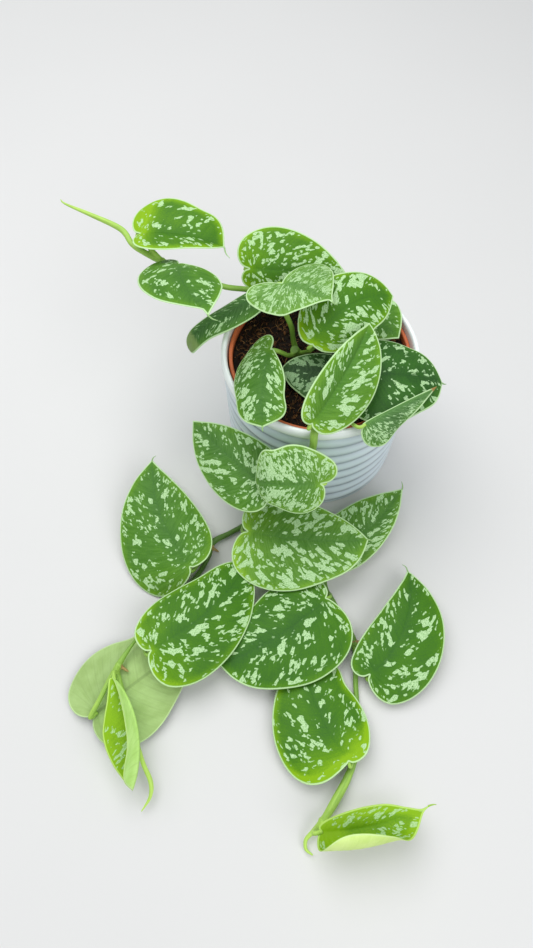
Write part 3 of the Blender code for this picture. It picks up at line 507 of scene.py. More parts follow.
def blade_material(leaf, seed):
    """Satin upper side: green with silvery patches beside the midrib, and a pale margin."""
    g = Graph(leaf + "_satin")
    look = PLAIN_LOOK | LOOKS[leaf]
    vein = g.add("ShaderNodeUVMap", 0, {}, uv_map="vein")
    form = g.split(g.attribute("form", "Vector"))
    reach, _, edge = form
    dust = g.noise(g.shift(vein, (0, seed, 0)), 13.0, 2.0, 0.7)
    streak = g.noise(g.place(vein, (7.0, 0.9, 1.0), (seed, 0, 9.0)), 1.0, 3.0, 0.6)
    patch = silvery_patches(g, look, seed, vein, form, dust)
    green = blade_green(g, look, seed, vein, form, dust, streak)
    silvery = g.mix(g.ramp(dust, 0.35, 0.65), (0.35, 0.59, 0.26), (0.54, 0.77, 0.42))
    # Duller, darker silver on low-tone leaves: partly painted shade, as the darkest leaves lie in shade.
    silvery = g.mix(g.ramp(look["tone"], 0.0, 0.4, 0.5, 0.0), silvery, (0.26, 0.44, 0.25))
    colour = g.mix(g.math("MULTIPLY", patch, look["patch"]), green, silvery)
    margin = g.mix(g.ramp(look["tone"], 0.6, 0.9), (0.56, 0.80, 0.42), (0.50, 0.74, 0.16))
    ragged = g.math("MULTIPLY_ADD", dust, 0.5, edge)
    colour = g.mix(g.ramp(ragged, 1.25, 0.75, 0.0, 0.9), colour, margin)
    if look["scorched"]:
        burnt = g.math("MULTIPLY_ADD", dust, 0.05, reach)
        burnt = g.ramp(burnt, look["scorched"], look["scorched"] + 0.04)
        colour = g.mix(burnt, colour, (0.34, 0.21, 0.06))
    height = g.math("MULTIPLY_ADD", streak, 0.4, g.math("MULTIPLY", dust, 0.4))
    height = g.math("MULTIPLY_ADD", patch, 0.2, height)
    g.bump(height, 0.35, 0.25 * MM)
    rough = g.math("MULTIPLY_ADD", patch, 0.06, g.ramp(dust, 0.2, 0.8, 0.46, 0.56))
    return g.finish(colour, rough, gloss=0.13)


def underside_material(name, seed, dark, light):
    """Pale matt lower side with a darker midrib and faint side veins."""
    g = Graph(name)
    vein = g.add("ShaderNodeUVMap", 0, {}, uv_map="vein")
    _, rib, edge = g.split(g.attribute("form", "Vector"))
    near = g.math("PINGPONG", g.split(vein)[0], VEIN_SPACING / 20)
    line = g.math("MULTIPLY", g.ramp(near, 0.07, 0.01), g.ramp(edge, 1.0, 9.0))
    streak = g.noise(g.place(vein, (8.0, 1.2, 1.0), (seed, 0, 2.0)), 1.0, 3.0, 0.6)
    cloud = g.noise(g.shift(vein, (seed, 3.0, 0)), 0.9, 2.0)
    dust = g.noise(vein, 26.0, 2.0)
    shade = g.vary(g.vary(cloud, streak, 0.4), dust, 0.5)
    colour = g.mix(g.ramp(shade, 0.25, 0.75), dark, light)
    vein_green = [0.62 * c for c in dark]
    colour = g.mix(g.math("MULTIPLY", line, 0.16), colour, vein_green)
    colour = g.mix(g.ramp(rib, 1.3, 0.5, 0.0, 0.45), colour, vein_green)
    colour = g.mix(g.ramp(edge, 0.9, 0.5, 0.0, 0.6), colour, (0.60, 0.80, 0.40))
    g.bump(g.math("MULTIPLY_ADD", line, 0.5, g.math("MULTIPLY", dust, 0.5)), 0.4, 0.25 * MM)
    return g.finish(colour, g.ramp(dust, 0.2, 0.8, 0.5, 0.62), gloss=0.25)


def stem_material(name):
    """Green stalk skin, streaked lengthwise, browning where roots and scars are; paler for young growth
    and painted light, darker for old growth and painted shade.
    """
    g = Graph(name)
    grain = g.attribute("grain", "Vector")
    streak = g.noise(g.place(grain, (9.0, 9.0, 0.7)), 1.0, 3.0, 0.6)
    dust = g.noise(grain, 24.0, 2.0)
    # Paler for young growth and painted light, darker for old growth and painted shade.
    tone = g.vary(g.vary(g.attribute("youth_and_light"), streak, 0.45), dust, 0.15)
    colour = g.colours(tone, [
        (0.0, (0.045, 0.095, 0.026)), (0.35, (0.120, 0.265, 0.035)), (0.7, (0.26, 0.47, 0.065)),
        (1.0, (0.52, 0.78, 0.14)),
    ])
    brown = g.mix(dust, (0.20, 0.12, 0.035), (0.55, 0.42, 0.15))
    scar = g.math("MULTIPLY_ADD", dust, 0.5, g.attribute("scar"))
    colour = g.mix(g.ramp(scar, 0.55, 1.0), colour, brown)
    height = g.math("MULTIPLY_ADD", streak, 0.8, g.math("MULTIPLY", dust, 0.4))
    g.bump(height, 0.5, 0.3 * MM)
    return g.finish(colour, g.ramp(dust, 0.2, 0.8, 0.40, 0.55), gloss=0.4)


def glaze_material(name):
    """Pale blue-grey glaze, paler over the rim; lighter on the rib crests and darker in the grooves and on
    the lower side of each rib, partly thinner and pooled glaze and partly painted light and shade from
    above.
    """
    g = Graph(name)
    spot = g.add("ShaderNodeTexCoord", "Object", {})
    cloud = g.noise(g.place(spot, (1, 1, 2.5)), 28.0, 3.0)
    ripple = g.noise(g.place(spot, (1, 1, 0.5)), 120.0, 2.0)
    fleck = g.noise(spot, 1400.0, 1.0)
    # Painted light and shade with pooled glaze: lighter on the crests, darker in the grooves, on the lower
    # side of each rib, on the foot and down the inside.
    colour = g.colours(g.vary(g.attribute("glaze_pool_and_shade"), cloud, 0.5), [
        (0.0, (0.26, 0.31, 0.36)), (0.4, (0.54, 0.63, 0.69)), (1.0, (0.70, 0.81, 0.87)),
    ])
    colour = g.mix(g.ramp(g.attribute("rim"), 0.1, 0.9), colour, (0.92, 0.98, 0.96))
    colour = g.mix(g.ramp(fleck, 0.72, 0.82, 0.0, 0.25), colour, (0.30, 0.33, 0.36))
    g.bump(g.math("MULTIPLY_ADD", cloud, 0.6, g.math("MULTIPLY", ripple, 0.4)), 0.25, 0.5 * MM)
    return g.finish(colour, g.ramp(ripple, 0.2, 0.8, 0.16, 0.26))


def plastic_material(name):
    """Terracotta-coloured moulded plastic, finely pebbled and dusted with soil."""
    g = Graph(name)
    spot = g.add("ShaderNodeTexCoord", "Object", {})
    cloud = g.noise(spot, 60.0, 3.0)
    pebble = g.noise(spot, 900.0, 2.0)
    colour = g.mix(cloud, (0.54, 0.12, 0.040), (0.72, 0.19, 0.065))
    soiled = g.noise(g.place(spot, (1, 1, 3)), 180.0, 3.0, 0.7)
    colour = g.mix(g.ramp(soiled, 0.56, 0.72, 0.0, 0.6), colour, (0.10, 0.055, 0.03))
    g.bump(pebble, 0.3, 0.1 * MM)
    return g.finish(colour, g.ramp(pebble, 0.2, 0.8, 0.42, 0.56), gloss=0.4)


def soil_material(name):
    """Coir compost: near-black humus with red-brown and straw-coloured bits."""
    g = Graph(name)
    spot = g.add("ShaderNodeTexCoord", "Object", {})
    speckle = g.noise(spot, 900.0, 3.0, 0.7)
    colour = g.colours(g.vary(g.attribute("shade"), speckle, 0.6), [
        (0.0, (0.004, 0.003, 0.002)), (0.4, (0.013, 0.007, 0.004)), (0.62, (0.075, 0.031, 0.012)),
        (0.82, (0.17, 0.070, 0.022)), (1.0, (0.36, 0.20, 0.075)),
    ])
    g.bump(speckle, 0.8, 0.5 * MM)
    return g.finish(colour, g.ramp(speckle, 0.2, 0.8, 0.75, 0.95), gloss=0.25)


def floor_material(name):
    """Matt pale paint, faintly clouded and grained."""
    g = Graph(name)
    spot = g.add("ShaderNodeTexCoord", "Object", {})
    cloud = g.noise(spot, 3.0, 3.0)
    grain = g.noise(spot, 500.0, 2.0)
    colour = g.mix(cloud, (0.66, 0.66, 0.65), (0.70, 0.70, 0.69))
    g.bump(grain, 0.1, 0.1 * MM)
    return g.finish(colour, g.ramp(grain, 0.2, 0.8, 0.6, 0.7))


def through_points(points, steps):
    """Smooth curve through the points, as tuples of the same length."""
    first = [2 * a - b for a, b in zip(points[0], points[1])]
    last = [2 * a - b for a, b in zip(points[-1], points[-2])]
    padded = [first, *points, last]
    result = []
    for k in range(steps):
        place = k / (steps - 1) * (len(points) - 1)
        i = min(int(place), len(points) - 2)
        t = place - i
        p0, p1, p2, p3 = padded[i:i + 4]
        result.append(tuple(
            b + 0.5 * t * (c - a + t * (2 * a - 5 * b + 4 * c - d + t * (3 * b - a - 3 * c + d)))
            for a, b, c, d in zip(p0, p1, p2, p3)
        ))
    return result


def link(item):
    """Put an object into the scene."""
    bpy.context.scene.collection.objects.link(item)
    return item


def make_object(name, points, faces, materials=()):
    """Mesh object in the scene, from points in millimetres."""
    mesh = bpy.data.meshes.new(name)
    mesh.from_pydata([tuple(c * MM for c in point) for point in points], [], faces)
    mesh.update()
    for material in materials:
        mesh.materials.append(material)
    return link(bpy.data.objects.new(name, mesh))


def evaluated_mesh(item):
    """New mesh of an object with its modifiers applied."""
    depsgraph = bpy.context.evaluated_depsgraph_get()
    return bpy.data.meshes.new_from_object(item.evaluated_get(depsgraph))


def join(points, faces, more_points, more_faces):
    """Append one mesh to the points and faces of another."""
    start = len(points)
    points.extend(more_points)
    faces.extend(tuple(k + start for k in face) for face in more_faces)


def add_piece(name, points, faces, materials, nodes):
    """Mesh piece that rides on the root body and stands for CAD nodes."""
    item = make_object(name, points, faces, materials)
    item.data.shade_smooth()
    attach(item, "root")
    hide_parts(*nodes)
    return item


def set_values(item, name, values):
    """Store one number or one vector a point on the mesh."""
    values = np.asarray(values, np.float32)
    kind, key = ("FLOAT", "value") if values.ndim == 1 else ("FLOAT_VECTOR", "vector")
    attribute = item.data.attributes.new(name, kind, "POINT")
    attribute.data.foreach_set(key, values.ravel())


class Blade:
    """A heart-shaped leaf blade: maps length along the midrib and distance from it to space."""

    def __init__(self, base, tip, face, width, lobes, arch=20, late=1, bend=0, fold=(0, 0),
                 curl=(20, 20), blunt=(0, 0), slim=(0, 0), opening=0):
        self.base = Vector(base)
        chord = Vector(tip) - self.base
        self.along = chord.normalized()
        facing = Vector(face)
        self.normal = (facing - facing.dot(self.along) * self.along).normalized()
        self.left = self.normal.cross(self.along)
        self.width = width
        self.lobes = lobes
        self.fold = [math.radians(v) for v in fold]
        self.curl = [math.radians(v) for v in curl]
        self.blunt = blunt
        self.slim = slim
        self.opening = opening
        self.bend = math.radians(bend) if bend else 0.001
        self.arch = math.radians(arch)
        self.late = late
        xs = [0.0]
        zs = [0.0]
        for k in range(CURVE_STEPS):
            turn = -self.arch * ((k + 0.5) / CURVE_STEPS) ** late
            xs.append(xs[-1] + math.cos(turn) / CURVE_STEPS)
            zs.append(zs[-1] + math.sin(turn) / CURVE_STEPS)
        self.start = -math.atan2(zs[-1], xs[-1])
        self.flat = chord.length / math.hypot(xs[-1], zs[-1])
        cosine = math.cos(self.start)
        sine = math.sin(self.start)
        self.rib_x = [(cosine * x - sine * z) * self.flat for x, z in zip(xs, zs)]
        self.rib_z = [(sine * x + cosine * z) * self.flat for x, z in zip(xs, zs)]
        half = self.bend / 2
        self.length = self.flat * half / math.sin(half)

    def outline(self, side, steps):
        points = []
        for share, lobe, y in BLADE_OUTLINE:
            if share < 1:
                y += self.blunt[side] * TIP_FULLNESS * math.exp(-((share - TIP_PLACE) / TIP_SPREAD) ** 2)
            y *= 1 - self.slim[side] * (1 - share) ** 2
            points.append((share * self.length - lobe * self.lobes[side], y * self.width[side]))
        return [(x, max(0.0, y)) for x, y in through_points(points, steps)]

    def rib(self, share):
        place = share * CURVE_STEPS
        i = min(int(place), CURVE_STEPS - 1)
        t = place - i
        x = self.rib_x[i] * (1 - t) + self.rib_x[i + 1] * t
        z = self.rib_z[i] * (1 - t) + self.rib_z[i + 1] * t
        return x, z

    def point(self, x, y, side):
        """Point at x along the midrib and y away from it, on side 0 (left) or 1 (right)."""
        share = min(1.0, max(0.0, x / self.length))
        late = max(0.0, share - OPENING_START) / (1 - OPENING_START)
        rolled = 1 - self.opening * late * late * (3 - 2 * late)
        fold = rolled * self.fold[side]
        rate = rolled * self.curl[side] / self.width[side]
        angle = fold - rate * y
        if abs(rate) > 1e-6:
            out = (math.sin(fold) - math.sin(angle)) / rate
            lift = (math.cos(angle) - math.cos(fold)) / rate
        else:
            out = y * math.cos(fold)
            lift = y * math.sin(fold)
        wave = math.sin(EDGE_WAVE_RATE * share + EDGE_WAVE_SHIFT * side) * math.sin(math.pi * share)
        lift += EDGE_WAVE * wave * (y / self.width[side]) ** 2
        sign = 1 if side == 0 else -1
        half = self.bend / 2
        turn = half - self.bend * share
        radius = self.length / self.bend
        back = min(0.0, x)
        flat_x = radius * (math.sin(half) - math.sin(turn)) + back * math.cos(half)
        flat_y = radius * (math.cos(turn) - math.cos(half)) + back * math.sin(half)
        flat_x -= math.sin(turn) * out * sign
        flat_y += math.cos(turn) * out * sign
        u = flat_x / self.flat
        inside = min(1.0, max(0.0, u))
        slope = self.start - self.arch * inside ** self.late
        rib_x, rib_z = self.rib(inside)
        rib_x += math.cos(slope) * (u - inside) * self.flat
        rib_z += math.sin(slope) * (u - inside) * self.flat
        up = self.normal * math.cos(slope) - self.along * math.sin(slope)
        return self.base + self.along * rib_x + self.normal * rib_z + self.left * flat_y + up * lift


class BladeMesh:
    """Fine mesh of a blade whose rows follow the side veins."""

    def __init__(self, blade, seed):
        self.blade = blade
        self.points = []
        self.flat = []
        self.form = []
        self.vein_of = []
        self.faces = []
        self.sides = []
        self.corners = []
        self.lookup = {}
        rims = [self.half(side, seed) for side in (0, 1)]
        self.loop = rims[1] + rims[0][-2:0:-1]
        self.measure_edge()

    def index(self, x, y, side):
        place = self.blade.point(x, y, side)
        key = tuple(round(c, 3) for c in place)
        if key not in self.lookup:
            self.lookup[key] = len(self.points)
            self.points.append(place)
            self.flat.append((x, y if side == 0 else -y))
            self.form.append((x / self.blade.length, y, 0.0))
        return self.lookup[key]

    def half(self, side, seed):
        """Add one half of the blade and return its rim from the notch to the tip."""
        blade = self.blade
        shares = [min(1.0, max(0.0, row[0])) for row in through_points(BLADE_OUTLINE, LEAF_ROWS)]
        shares[-1] = 1.0
        rows = []
        veins = []
        across = 40.0 * side + 3.0 * seed
        before = None
        for (edge_x, edge_y), share in zip(blade.outline(side, LEAF_ROWS), shares):
            root = max(0.0, share - VEIN_SWEEP * math.sin(math.pi * share)) * blade.length
            mid_x = root + 0.35 * (edge_x - root)
            row = []
            flats = []
            for j in range(LEAF_COLUMNS + 1):
                t = j / LEAF_COLUMNS
                v = 0.35 * t + 0.65 * (0.5 - 0.5 * math.cos(math.pi * t))
                x = (1 - v) ** 2 * root + 2 * v * (1 - v) * mid_x + v * v * edge_x
                y = 2 * v * (1 - v) * 0.55 * edge_y + v * v * edge_y
                flats.append((x, y))
                row.append(self.index(x, y, side))
            middle = flats[LEAF_COLUMNS * 6 // 10]
            if before:
                across += math.dist(middle, before)
            before = middle
            out = 0.0
            line = [(across / 10, 0.0)]
            for a, b in zip(flats, flats[1:]):
                out += math.dist(a, b)
                line.append((across / 10, out / 10))
            rows.append(row)
            veins.append(line)
        for k in range(len(rows) - 1):
            for j in range(LEAF_COLUMNS):
                kept = {}
                for r, c in ((k, j), (k + 1, j), (k + 1, j + 1), (k, j + 1)):
                    kept.setdefault(rows[r][c], veins[r][c])
                if len(kept) < 3:
                    continue
                corners = list(kept.items())
                if side == 1:
                    corners.reverse()
                self.faces.append(tuple(index for index, _ in corners))
                self.corners.append([vein for _, vein in corners])
        rim = []
        for row in rows:
            if not rim or row[-1] != rim[-1]:
                rim.append(row[-1])
        return rim

    def measure_edge(self):
        """Distance of each point from the blade's outline, on the flattened blade."""
        flat = np.array(self.flat)
        rim = flat[self.loop]
        step = np.roll(rim, -1, axis=0) - rim
        length = np.maximum((step ** 2).sum(1), 1e-9)
        for k, place in enumerate(flat):
            t = np.clip(((place - rim) * step).sum(1) / length, 0, 1)
            gap = np.sqrt((((rim + step * t[:, None]) - place) ** 2).sum(1).min())
            x, y, _ = self.form[k]
            self.form[k] = (x, y, gap)


def blade_normals(sheet):
    """Unit normal of the blade at each point."""
    normals = [Vector() for _ in sheet.points]
    for face in sheet.faces:
        a, b, c = (sheet.points[k] for k in face[:3])
        normal = (b - a).cross(c - a)
        for k in face:
            normals[k] += normal
    return [normal.normalized() for normal in normals]


def blade_skins(sheet, normals, across, seed):
    """Upper and lower points: quilted by the side veins, grooved above and ridged below the midrib."""
    upper = []
    lower = []
    for k, (place, normal) in enumerate(zip(sheet.points, normals)):
        reach, rib, edge = sheet.form[k]
        swell = noise.noise(Vector((*sheet.flat[k], 31.0 * seed)) * 0.055)
        swell *= min(1.0, rib / 6.0) * min(1.0, edge / 2.0 + 0.5)
        place = place + normal * SURFACE_SWELL * swell
        wave = 0.5 - 0.5 * math.cos(2 * math.pi * across[k] * 10 / VEIN_SPACING)
        quilt = VEIN_QUILT * wave * min(1.0, rib / 4.0) * min(1.0, edge / 5.0)
        groove = RIB_GROOVE * math.exp(-(rib / 1.1) ** 2) * min(1.0, edge / 3.0)
        fading = 1.1 - min(1.0, max(0.0, reach))
        ridge = RIB_RIDGE * math.exp(-(rib / 0.8) ** 2) * min(1.0, edge / 6.0) * fading
        half = LEAF_THICKNESS / 2 * (0.55 + 0.45 * min(1.0, edge / 1.5))
        upper.append(place + normal * (half + quilt - groove))
        lower.append(place - normal * (half + ridge - 0.6 * quilt))
    return upper, lower


def thread_tip(name, blade):
    """Points and faces of the thread that a blade ends in."""
    tip = blade.point(blade.length, 0.0, 0)
    back = blade.point(THREAD_START * blade.length, 0.0, 0)
    ends = [back, tip] + [tip + Vector(turn) for turn in DRIP_TIPS[name]]
    return tube([(*end, radius) for end, radius in zip(ends, THREAD_RADII)], 8, 0.6)[:2]


def add_blade(name, seed, top, under):
    """Leaf piece: upper and lower skin, a rounded edge between them and a thread tip."""
    blade = Blade(**LEAVES[name])
    sheet = BladeMesh(blade, seed)
    count = len(sheet.points)
    normals = blade_normals(sheet)
    across = {}
    for face, corner in zip(sheet.faces, sheet.corners):
        for k, uv in zip(face, corner):
            across.setdefault(k, uv[0])
    upper, lower = blade_skins(sheet, normals, across, seed)
    rim = []
    size = len(sheet.loop)
    for position, k in enumerate(sheet.loop):
        before = sheet.points[sheet.loop[position - 1]]
        after = sheet.points[sheet.loop[(position + 1) % size]]
        outward = (after - before).cross(normals[k]).normalized()
        rim.append((upper[k] + lower[k]) / 2 + outward * EDGE_ROUNDNESS)
    points = upper + lower + rim
    faces = list(sheet.faces)
    faces += [tuple(k + count for k in reversed(face)) for face in sheet.faces]
    corners = sheet.corners + [corner[::-1] for corner in sheet.corners]
    form = sheet.form * 2 + [(*sheet.form[k][:2], 0.0) for k in sheet.loop]
    for position, a in enumerate(sheet.loop):
        following = (position + 1) % size
        b = sheet.loop[following]
        edge = 2 * count + position
        next_edge = 2 * count + following
        faces += [(a, edge, next_edge, b), (edge, a + count, b + count, next_edge)]
        corners += [[(across[k], 0.0) for k in (a, a, b, b)]] * 2
    if name in DRIP_TIPS:
        tip_points, tip_faces = thread_tip(name, blade)
        join(points, faces, tip_points, tip_faces)
        corners += [[(0.0, 0.0)] * len(face) for face in tip_faces]
        form += [(1.0, 3.0, 0.75)] * len(tip_points)
    skin = len(sheet.faces)
    material_of = [0] * skin + [1] * skin + [0] * (len(faces) - 2 * skin)
    item = add_piece("blade_" + name, points, faces, [top, under], [name])
    item.data.polygons.foreach_set("material_index", material_of)
    layer = item.data.uv_layers.new(name="vein")
    veins = [uv for corner in corners for uv in corner]
    layer.uv.foreach_set("vector", np.array(veins, np.float32).ravel())
    set_values(item, "form", form)


def tube(path, sides, step):
    """Points, faces and centre line of a round tube through points of x, y, z and radius."""
    length = sum((Vector(a[:3]) - Vector(b[:3])).length for a, b in zip(path, path[1:]))
    steps = max(5, round(length / step) + 1)
    rows = through_points(path, steps)
    centres = [Vector(row[:3]) for row in rows]
    side_way = None
    points = []
    line = []
    travelled = 0.0
    for k, centre in enumerate(centres):
        way = (centres[min(k + 1, steps - 1)] - centres[max(k - 1, 0)]).normalized()
        if side_way is None:
            side_way = way.orthogonal()
        side_way = (side_way - side_way.dot(way) * way).normalized()
        other = way.cross(side_way)
        if k:
            travelled += (centre - centres[k - 1]).length
        line.append((centre, way, side_way, other, travelled))
        radius = max(THINNEST_TUBE, rows[k][3])
        for j in range(sides):
            angle = 2 * math.pi * j / sides
            points.append(centre + (side_way * math.cos(angle) + other * math.sin(angle)) * radius)
    faces = []
    for k in range(steps - 1):
        for j in range(sides):
            a = k * sides + j
            b = k * sides + (j + 1) % sides
            faces.append((a, b, b + sides, a + sides))
    faces.append(tuple(range(sides))[::-1])
    faces.append(tuple((steps - 1) * sides + j for j in range(sides)))
    return points, faces, line


def stalk_path(leaf, start, between, radius):
    """Path of a leaf stalk, which swells where it clasps the stem and where it joins the blade."""
    blade = Blade(**LEAVES[leaf])
    heading = blade.along * math.cos(blade.start) + blade.normal * math.sin(blade.start)
    up = blade.normal * math.cos(blade.start) - blade.along * math.sin(blade.start)
    if leaf in MET_FROM_BEHIND:
        end = blade.base + heading * 0.8
        before = blade.base - heading * 4
    else:
        end = blade.base + heading * 1.5 - up * 0.7 * radius
        before = blade.base - heading * 3.5 - up * (1.5 + 0.7 * radius)
    middle = [(*point, radius) for point in between]
    return [(*start, 1.25 * radius), *middle, (*before, 0.95 * radius), (*end, 0.8 * radius)]


def melt(name, points, faces):
    """Points and faces of one closed skin round overlapping tubes."""
    draft = make_object(name + "_draft", points, faces)
    remesh = draft.modifiers.new("skin", "REMESH")
    remesh.mode = "VOXEL"
    remesh.voxel_size = STEM_VOXEL * MM
    smooth = draft.modifiers.new("soften", "SMOOTH")
    smooth.factor = 0.5
    smooth.iterations = 3
    skin = evaluated_mesh(draft)
    skin_points = [tuple(c / MM for c in vertex.co) for vertex in skin.vertices]
    skin_faces = [tuple(face.vertices) for face in skin.polygons]
    bpy.data.objects.remove(draft, do_unlink=True)
    bpy.data.meshes.remove(skin)
    return skin_points, skin_faces


def add_stem(name, material):
    """Stem piece: stem, stalks and root nubs melted into one skin, with swollen nodes."""
    path, youth_and_light_stops = STEMS[name]
    points = []
    faces = []

    def add_part(part, step):
        part_points, part_faces, line = tube(part, STEM_SIDES, step)
        join(points, faces, part_points, part_faces)
        return line

    spine = []
    main = add_part(path, STEM_STEP)
    for sample in main:
        share = sample[4] / main[-1][4] * (len(youth_and_light_stops) - 1)
        i = min(int(share), len(youth_and_light_stops) - 2)
        youth_and_light_here = youth_and_light_stops[i] + (youth_and_light_stops[i + 1] - youth_and_light_stops[i]) * (share - i)
        spine.append((*sample, youth_and_light_here, 0.0))
    samples = list(spine)
    for leaf, (start, between, radius) in STALKS[name].items():
        root = Vector(start)
        ring, way, *_, stem_youth_and_light, _ = min(spine, key=lambda sample: (sample[0] - root).length)
        swollen = min(path, key=lambda row: (Vector(row[:3]) - ring).length)[3] + NODE_SWELL
        add_part([(*(ring + way * shift), share * swollen) for shift, share in NODE_BULGE], FINE_STEP)
        line = add_part(stalk_path(leaf, start, between, radius), STEM_STEP)
        for sample in line:
            # A stalk is paler than its stem: partly younger growth, partly painted light on the lit
            # stalks.
            youth_and_light_here = stem_youth_and_light + (0.25 + 0.25 * sample[4] / line[-1][4]) * (1 - stem_youth_and_light)
            samples.append((*sample, youth_and_light_here, 0.0))
    for root, tip in ROOT_NUBS[name]:
        root = Vector(root)
        tip = Vector(tip)
        end = tip + (tip - root) * 0.35
        nub = [(*root, 1.2), (*tip.lerp(root, 0.2), 0.9), (*end, 0.4)]
        samples += [(*sample, NUB_AGE, 1.0) for sample in add_part(nub, FINE_STEP)]

    skin_points, skin_faces = melt(name, points, faces)
    tree = kdtree.KDTree(len(samples))
    for k, sample in enumerate(samples):
        tree.insert(sample[0], k)
    tree.balance()
    grain = []
    youth_and_light = []
    scar = []
    for place in skin_points:
        centre, way, side_way, other, travelled, youth_and_light_here, scarred = samples[tree.find(place)[1]]
        away = Vector(place) - centre
        along = travelled + away.dot(way)
        grain.append((away.dot(side_way) / 10, away.dot(other) / 10, along / 10))
        youth_and_light.append(youth_and_light_here)
        scar.append(scarred)
    item = add_piece(name + "_skin", skin_points, skin_faces, [material], [name])
    set_values(item, "grain", grain)
    set_values(item, "youth_and_light", youth_and_light)
    set_values(item, "scar", scar)


def lathe(profile, segments):
    """Points and faces of a solid of revolution whose profile starts and ends on the axis."""
    points = [(0, 0, profile[0][1])]
    rows = []
    for radius, height in profile[1:-1]:
        rows.append(len(points))
        for k in range(segments):
            angle = 2 * math.pi * k / segments
            points.append((radius * math.cos(angle), radius * math.sin(angle), height))
    end = len(points)
    points.append((0, 0, profile[-1][1]))
    faces = []
    for k in range(segments):
        k2 = (k + 1) % segments
        faces.append((0, rows[0] + k2, rows[0] + k))
        faces.append((end, rows[-1] + k, rows[-1] + k2))
        for a, b in zip(rows, rows[1:]):
            faces.append((a + k, a + k2, b + k2, b + k))
    return points, faces


def rib_rows():
    """Rows of the ribbed wall: radius, height, a value that is highest on a rib's crest and lowest in its
    groove, for thinner and pooled glaze and for painted light and shade, and no rim.
    """
    top_radius = POT_RIM_RADIUS - POT_BODY_INSET
    wall_top = POT_HEIGHT - POT_RIM_DEPTH
    rib = (wall_top - POT_RIB_START) / POT_RIBS
    rows = []
    for k in range(POT_RIBS):
        for j in range(POT_RIB_POINTS):
            share = j / POT_RIB_POINTS
            off_crest = abs(2 * share - 1)
            height = POT_RIB_START + rib * (k + share)
            wall = POT_BASE_RADIUS + (top_radius - POT_BASE_RADIUS) * height / wall_top
            # Painted shade: the value falls off faster on the lower half of each rib, as if lit from
            # above.
            glaze_pool_and_shade = 1 - off_crest ** (1.2 if share < 0.5 else 2)
            rows.append((wall - POT_RIB_DEPTH * off_crest ** 2.2, height, glaze_pool_and_shade, 0))
    return rows


def add_cover_pot():
    """Glazed pot with rounded ribs, a thick rolled rim and a foot."""
    top = POT_HEIGHT
    low = top - POT_RIM_DEPTH
    rim = POT_RIM_RADIUS
    body = rim - POT_BODY_INSET
    base = POT_BASE_RADIUS
    inner = base - POT_WALL
    # Third column: thinner glaze and painted light on the crests, pooled glaze and painted shade lower
    # down, darker on the foot and down the inside.
    profile = [
        (0, 0, 0, 0), (POT_FOOT_RADIUS - 3, 0, 0, 0), (POT_FOOT_RADIUS, 0, 0.3, 0),
        (base - 2.2, 0.25, 0.6, 0), (base - 1.2, 0.8, 0.8, 0), (base - 0.6, 1.6, 0.8, 0),
        (base - 0.6, 2.8, 0.5, 0),
    ]
    profile += rib_rows()
    rolled = [
        (body - POT_RIB_DEPTH, low), (body - 0.8, low + 0.3), (rim - 0.9, low + 1.0),
        (rim - 0.4, low + 2.2), (rim - 0.1, low + 3.6), (rim, low + 5.0), (rim - 0.1, top - 2.8),
        (rim - 0.4, top - 1.7), (rim - 0.9, top - 0.8), (rim - 1.5, top - 0.25), (rim - 2.2, top),
        (rim - 2.9, top - 0.2), (rim - 3.5, top - 0.7), (rim - 3.95, top - 1.5),
        (rim - POT_WALL, top - 3.0),
    ]
    profile += [(*place, 1.0, min(1.0, k / 4)) for k, place in enumerate(rolled)]
    profile += [
        (rim - POT_WALL - 0.6, top - 18.0, 0.8, 0.6), (inner - 0.5, POT_FLOOR + 3.0, 0.4, 0.2),
        (inner - 1.5, POT_FLOOR + 0.9, 0.4, 0.2), (inner - 4.0, POT_FLOOR, 0.4, 0.2),
        (0, POT_FLOOR, 0.4, 0.2),
    ]
    points, faces = lathe([row[:2] for row in profile], POT_SEGMENTS)
    material = glaze_material("pot_glaze")
    item = add_piece("cover_pot_glazed", points, faces, [material], ["cover_pot"])
    for name, column in (("glaze_pool_and_shade", 2), ("rim", 3)):
        values = [row[column] for row in profile[1:-1] for _ in range(POT_SEGMENTS)]
        set_values(item, name, [profile[0][column], *values, profile[-1][column]])


